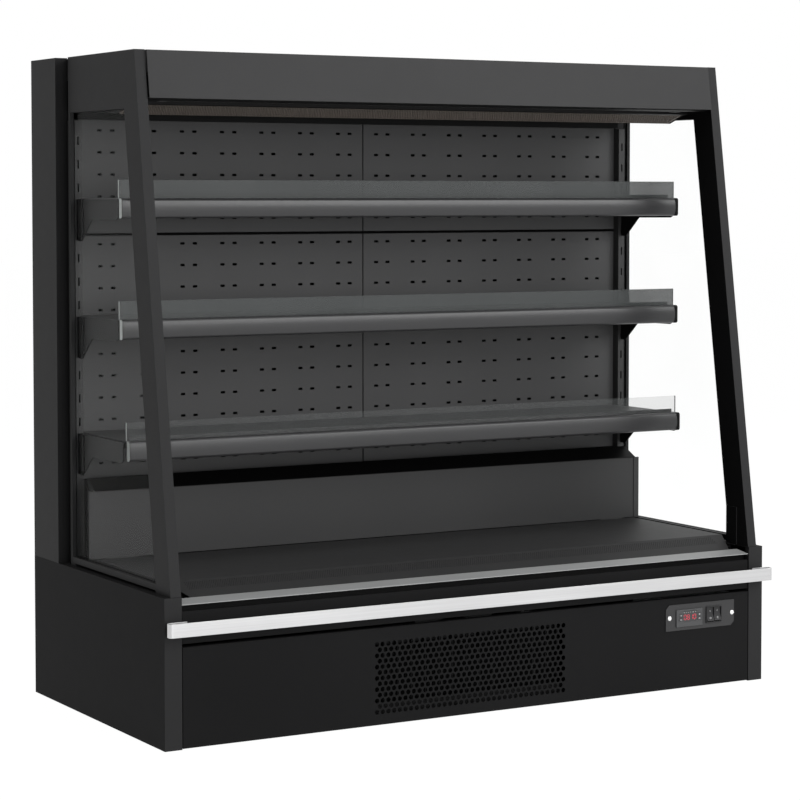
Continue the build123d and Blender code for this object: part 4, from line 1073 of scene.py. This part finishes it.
def make_finishes(finish):
    """All materials by the slot or by the place that they are for."""
    coat = powder_coat_group()
    brushed = brushed_group()
    outer = tuple(finish.outer_paint)
    inner = tuple(finish.inner_paint)

    def paint(name, colour, roughness, specular, dust, grain=620.0, depth=0.00006, **extra):
        values = {"Specular IOR Level": specular, **extra}
        return coated(name, coat, colour, roughness, depth, values, Grain=grain, Dust=dust)

    def plastic(name, colour, roughness, specular, grain=900.0):
        return paint(name, colour, roughness, specular, 0.0, grain)

    def metal(name, colour, roughness, depth=0.00001):
        return coated(name, brushed, colour, roughness, depth, {"Metallic": 1.0})

    return {
        "dark_grey_paint": paint("outer_powder_coat", outer, 0.45, 0.05, 0.03),
        # Painted shade: the base pieces take the outer paint darkened to three quarters
        "base_painted_shade": paint("base_powder_coat", dimmed(outer, 0.75), 0.5, 0.02, 0.02),
        # Painted light: the canopy fascia and roof take the outer paint 1.3 times brighter
        "canopy_painted_light": paint("canopy_powder_coat", dimmed(outer, 1.3), 0.5, 0.2, 0.0),
        "mid_grey_paint": paint("inner_powder_coat", inner, 0.46, 0.35, 0.02),
        # Painted light: the rear liner takes the inner paint 2.1 times brighter
        "liner_painted_light": paint("liner_powder_coat", dimmed(inner, 2.1), 0.5, 0.3, 0.0),
        # Painted light: the front faces of the side frames and base sides take the outer paint 1.3
        # times brighter
        "post_front_coat": paint("post_front_coat", dimmed(outer, 1.3), 0.5, 0.1, 0.0),
        "deck_coat": paint("deck_powder_coat", inner, 0.55, 0.16, 0.02),
        # Painted shade: the canopy soffit and the base tray take the inner paint darkened to a
        # quarter
        "soffit_coat": paint("soffit_coat", dimmed(inner, 0.25), 0.55, 0.1, 0.0),
        "galvanised_sheet": paint(
            "zinc_sheet", (0.30, 0.31, 0.32), 0.45, 0.5, 0.05, 90.0, Metallic=0.85),
        "bumper_metal": metal("bumper_bright_metal", tuple(finish.bumper), 0.4),
        "stainless": coated(
            "brushed_stainless", brushed, tuple(finish.stainless), 0.5, 0.00001,
            {"Metallic": 0.3, "Specular IOR Level": 0.5}),
        "foam_housing": paint("well_skin", (0.006, 0.006, 0.0062), 0.55, 0.1, 0.02),
        "rail_plastic": plastic("rail_plastic_skin", (0.037, 0.037, 0.0385), 0.3, 0.42, 800.0),
        "black_plastic": plastic("black_plastic_skin", (0.010, 0.010, 0.011), 0.4, 0.4),
        # Black of the rail ends, also used as painted shade on the shelf brackets and the air guide
        "cap_black": plastic("rail_end_black", (0.004, 0.004, 0.0042), 0.45, 0.1),
        "key_plastic": plastic("sign_white_plastic", (0.5, 0.5, 0.5), 0.5, 0.4),
        "side_glass": clear_glass("pane_glass", (0.992, 0.996, 0.994), 0.0, 1.035),
        # Painted shade: a dark brown stands for the aluminium honeycomb in the shade under the
        # canopy
        "honeycomb_plastic": plastic(
            "honeycomb_brown", (0.125, 0.108, 0.094), 0.6, 0.25, 400.0),
        "control_sheet": paint("control_plate_coat", (0.028, 0.028, 0.029), 0.45, 0.4, 0.0),
        # Painted shade: the frosted tube of the unlit lamp is made dark grey for the shade under
        # the canopy
        "lamp_tube": paint("lamp_frosted_tube", (0.05, 0.05, 0.05), 0.5, 0.3, 0.0),
        # Painted shade: the coil and its fins are made near black for the shade behind the grille
        "coil_aluminium": paint("coil_fin_coat", (0.010, 0.010, 0.0105), 0.5, 0.15, 0.0),
        "compressor_shell": paint(
            "compressor_gloss_paint", (0.012, 0.012, 0.013), 0.25, 0.5, 0.02),
        # Painted shade: near black for the inner post faces, the groove of the beam and the fascia
        # underside
        "post_shadow": paint("post_inner_coat", (0.0035, 0.0035, 0.0036), 0.6, 0.08, 0.0),
        "upstand_glass": tinted_pane("upstand_glass", (0.073, 0.079, 0.079), 0.7),
        "upstand_clear": tinted_pane("upstand_clear", (0.17, 0.18, 0.18), 0.12),
        # Painted highlight: bright grey for the ends of the glass upstands and the left faces of
        # the rail caps
        "edge_highlight": plastic("polished_glass_edge", (0.55, 0.58, 0.57), 0.3, 0.5),
        "controller_face": plastic("controller_face", (0.065, 0.066, 0.068), 0.4, 0.4),
        "window": plastic("display_smoke", (0.045, 0.045, 0.047), 0.15, 0.5),
        "digits": lit("display_red", tuple(finish.digits), 0.9),
        "signs": lit("display_sign_light", (0.45, 0.47, 0.44), 0.25),
        "screw_bright": metal("screw_bright_metal", (0.9, 0.9, 0.9), 0.22),
    }


# Pieces whose finish is another one than that of their slot
SPECIAL_FINISH = {
    piece: finish
    for finish, pieces in {
        "window": "display_window",
        "digits": "display_digits",
        "signs": "display_signs",
        "screw_bright": "domed_screws",
        "controller_face": "controller_finished key_up key_down key_set key_defrost",
        "upstand_clear": "glass_upstand_bottom_finished",
        "upstand_glass": "glass_upstand_middle_finished glass_upstand_top_finished",
        # Painted shade: the base tray and the canopy soffit take the darkened inner paint
        "soffit_coat": "base_tray canopy_soffit_finished",
        # Painted shade: the base panel, beam, bumper brackets and sides take the darkened outer
        # paint
        "base_painted_shade": "service_panel front_beam_finished bumper_brackets_finished "
                     "base_side_left_finished base_side_right_finished",
        # Painted light: the fascia and roof take the brightened outer paint
        "canopy_painted_light": "canopy_fascia_finished canopy_roof_finished",
        # Painted shade: the shelf brackets and the air guide take the black of the rail ends
        "cap_black": "shelf_brackets_finished air_guide_finished "
                     "rail_end_bottom rail_end_middle rail_end_top",
        "deck_coat": "air_return_sheet deck_pan_finished",
        # Painted shade: the fins take the near-black coil finish
        "coil_aluminium": "condenser_fins",
        # Painted light: the liner pans take the brightened inner paint
        "liner_painted_light": "rear_liner_pans",
        # Painted shade: the honeycomb takes the dark brown of its shade under the canopy
        "honeycomb_plastic": "air_curtain_honeycomb",
    }.items()
    for piece in pieces.split()
}

# A face looks along an axis from this share of its normal on; the groove of the beam reaches this
# far under its top, and its faces take painted shade
LOOKS_ALONG = 0.7
GROOVE_DEPTH = 12.9 * MM


def dress(piece, material):
    """Give a piece one material for all its faces."""
    if not piece.data.materials:
        piece.data.materials.append(material)
    for index in range(len(piece.data.materials)):
        piece.data.materials[index] = material


def second_finish(node, material, wanted):
    """Second material on the faces of a node's copy whose centre and normal pass the test."""
    piece = bpy.data.objects[node + "_finished"]
    piece.data.materials.append(material)
    for face in piece.data.polygons:
        if wanted(face.center, face.normal):
            face.material_index = len(piece.data.materials) - 1


class FRIDGE_OT_finishes(Operator):
    """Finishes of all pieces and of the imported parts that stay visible"""

    bl_idname = "fridge.finishes"
    bl_label = "Finishes"

    def execute(self, context):
        finishes = make_finishes(context.scene.fridge_finish)
        for piece in list(bpy.data.objects):
            if piece.type != "MESH":
                continue
            usual = SLOT_OF.get(piece.name.removesuffix("_finished"), "key_plastic")
            dress(piece, finishes[SPECIAL_FINISH.get(piece.name, usual)])
        self.second_finishes(finishes)
        return {"FINISHED"}

    def second_finishes(self, finishes):
        """Painted shade on inner post faces, beam groove and the folded fascia underside; painted
        light on post fronts; painted highlights on glass ends and rail caps.
        """
        shadow = finishes["post_shadow"]
        light = finishes["edge_highlight"]
        for side, inward in (("left", 1), ("right", -1)):
            # Painted shade on the inner faces of the side frames
            second_finish("side_frame_" + side, shadow,
                          lambda centre, normal: normal.x * inward > LOOKS_ALONG)
            # Painted light on the front faces of the side frames and base sides
            for part in ("side_frame_", "base_side_"):
                second_finish(part + side, finishes["post_front_coat"],
                              lambda centre, normal: normal.y < -LOOKS_ALONG)
        # Painted shade in the groove of the beam and on the underside of the fascia
        groove_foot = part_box("front_beam")[1].z - GROOVE_DEPTH
        second_finish("front_beam", shadow, lambda centre, normal: centre.z > groove_foot)
        second_finish("canopy_fascia", shadow, lambda centre, normal: normal.z < -LOOKS_ALONG)
        # Painted highlights on the ends of the glass upstands and the left faces of the rail caps
        for level in LEVELS:
            second_finish("glass_upstand_" + level, light,
                          lambda centre, normal: abs(normal.x) > LOOKS_ALONG)
            second_finish("rail_caps_" + level, light,
                          lambda centre, normal: normal.x < -LOOKS_ALONG)


# Stage

# Lamps by the name of their power: place, target, width and height in metres
LAMPS = {
    "softbox": ((2.4, -3.6, 2.6), (0, -0.2, 0.75), 3.2, 1.8),
    "front_fill": ((-0.6, -5.2, 1.1), (0, 0, 0.7), 3.6, 1.6),
    "overhead": ((-0.2, -0.8, 3.6), (0, 0, 0.6), 3, 2),
    "back_fill": ((0.8, 4.8, 1.9), (0, 0, 0.7), 3.2, 1.8),
}

# Camera and floor; the floor glows by itself where the camera sees it
CAMERA_PLACE = (-2.4685, -4.2559, 0.9842)
SENSOR_WIDTH = 36
FLOOR_SIZE = 60
FLOOR_FALL = 0.5 * MM
FLOOR_GLOW = 1.06
FLOOR_GLOW_SHARE = 0.93


def lamp(name, place, target, width, height, power):
    """Rectangular soft lamp which looks at a point."""
    object_mode()
    bpy.ops.object.light_add(type="AREA", location=place)
    light = bpy.context.object
    light.name = name
    light.data.shape = "RECTANGLE"
    light.data.size = width
    light.data.size_y = height
    light.data.energy = power
    direction = Vector(target) - Vector(place)
    light.rotation_euler = direction.to_track_quat("-Z", "Y").to_euler()


def seen_share(tree):
    """1 where the camera sees a surface directly, in metal or through glass."""
    path = node_of(tree, "LightPath")
    direct = math_of(tree, "MAXIMUM", path.outputs["Is Camera Ray"],
                     path.outputs["Is Glossy Ray"])
    return math_of(tree, "MAXIMUM", direct, path.outputs["Is Transmission Ray"])


def white_world(fill):
    """World that looks white and lights the object evenly and softly."""
    world = bpy.data.worlds.new("studio_world")
    bpy.context.scene.world = world
    world.use_nodes = True
    tree = world.node_tree
    background = tree.nodes["Background"]
    give(background, Color=(1, 1, 1, 1))
    strength = range_of(tree, seen_share(tree), 0, 1, fill, 1)
    tree.links.new(strength, background.inputs["Strength"])


def floor_finish():
    """Pale floor that keeps a soft shadow of the object and fades to white."""
    material, tree, shader, _ = new_material("pale_floor")
    give(shader, Base_Color=(0.86, 0.86, 0.86, 1), Roughness=0.9, Specular_IOR_Level=0)
    white = node_of(tree, "Emission", Strength=FLOOR_GLOW)
    share = range_of(tree, seen_share(tree), 0, 1, 0, FLOOR_GLOW_SHARE)
    mix_shaders(tree, share, shader, white)
    return material


class FRIDGE_OT_stage(Operator):
    """Pale floor, white background, soft lamps and the camera"""

    bl_idname = "fridge.stage"
    bl_label = "Stage"

    def execute(self, context):
        studio = context.scene.fridge_studio
        object_mode()
        bpy.ops.mesh.primitive_plane_add(size=FLOOR_SIZE, location=(0, 0, -FLOOR_FALL))
        floor = settle(bpy.context.object, "studio_floor")
        dress(floor, floor_finish())
        white_world(studio.fill)
        for name, place_and_size in LAMPS.items():
            lamp(name, *place_and_size, getattr(studio, name))
        bpy.ops.object.camera_add(
            location=CAMERA_PLACE, rotation=(math.pi / 2 - studio.pitch, 0, -studio.yaw))
        camera = bpy.context.object
        camera.data.sensor_width = SENSOR_WIDTH
        camera.data.lens = studio.lens
        camera.data.shift_y = studio.shift
        context.scene.camera = camera
        context.scene.view_settings.view_transform = "Standard"
        return {"FINISHED"}


class FRIDGE_PT_pieces(Panel):
    """Pieces, finishes and stage of the display fridge"""

    bl_label = "Display fridge"
    bl_idname = "FRIDGE_PT_pieces"
    bl_space_type = "VIEW_3D"
    bl_region_type = "UI"
    bl_category = "Fridge"

    def draw(self, context):
        layout = self.layout
        for settings in SETTINGS:
            group = getattr(context.scene, settings)
            column = layout.box().column()
            for name in group.__annotations__:
                column.prop(group, name)
        for operator in OPERATORS:
            layout.operator(operator.bl_idname)


OPERATORS = (
    FRIDGE_OT_service_panel,
    FRIDGE_OT_air_return,
    FRIDGE_OT_rear_liner,
    FRIDGE_OT_honeycomb,
    FRIDGE_OT_coil_fins,
    FRIDGE_OT_rail_ends,
    FRIDGE_OT_display,
    FRIDGE_OT_plate_screws,
    FRIDGE_OT_rocker_signs,
    FRIDGE_OT_soft_edges,
    FRIDGE_OT_finishes,
    FRIDGE_OT_stage,
)
SETTINGS = {
    "fridge_sizes": FridgeSizes, "fridge_finish": FridgeFinish, "fridge_studio": StudioSettings}
CLASSES = (*SETTINGS.values(), *OPERATORS, FRIDGE_PT_pieces)


def register():
    for cls in CLASSES:
        bpy.utils.register_class(cls)
    for name, settings in SETTINGS.items():
        setattr(bpy.types.Scene, name, PointerProperty(type=settings))


def unregister():
    for name in SETTINGS:
        delattr(bpy.types.Scene, name)
    for cls in reversed(CLASSES):
        bpy.utils.unregister_class(cls)


def main():
    """Make all pieces in order."""
    register()
    for operator in OPERATORS:
        group_name, _, name = operator.bl_idname.partition(".")
        getattr(getattr(bpy.ops, group_name), name)()


if __name__ == "__main__":
    main()
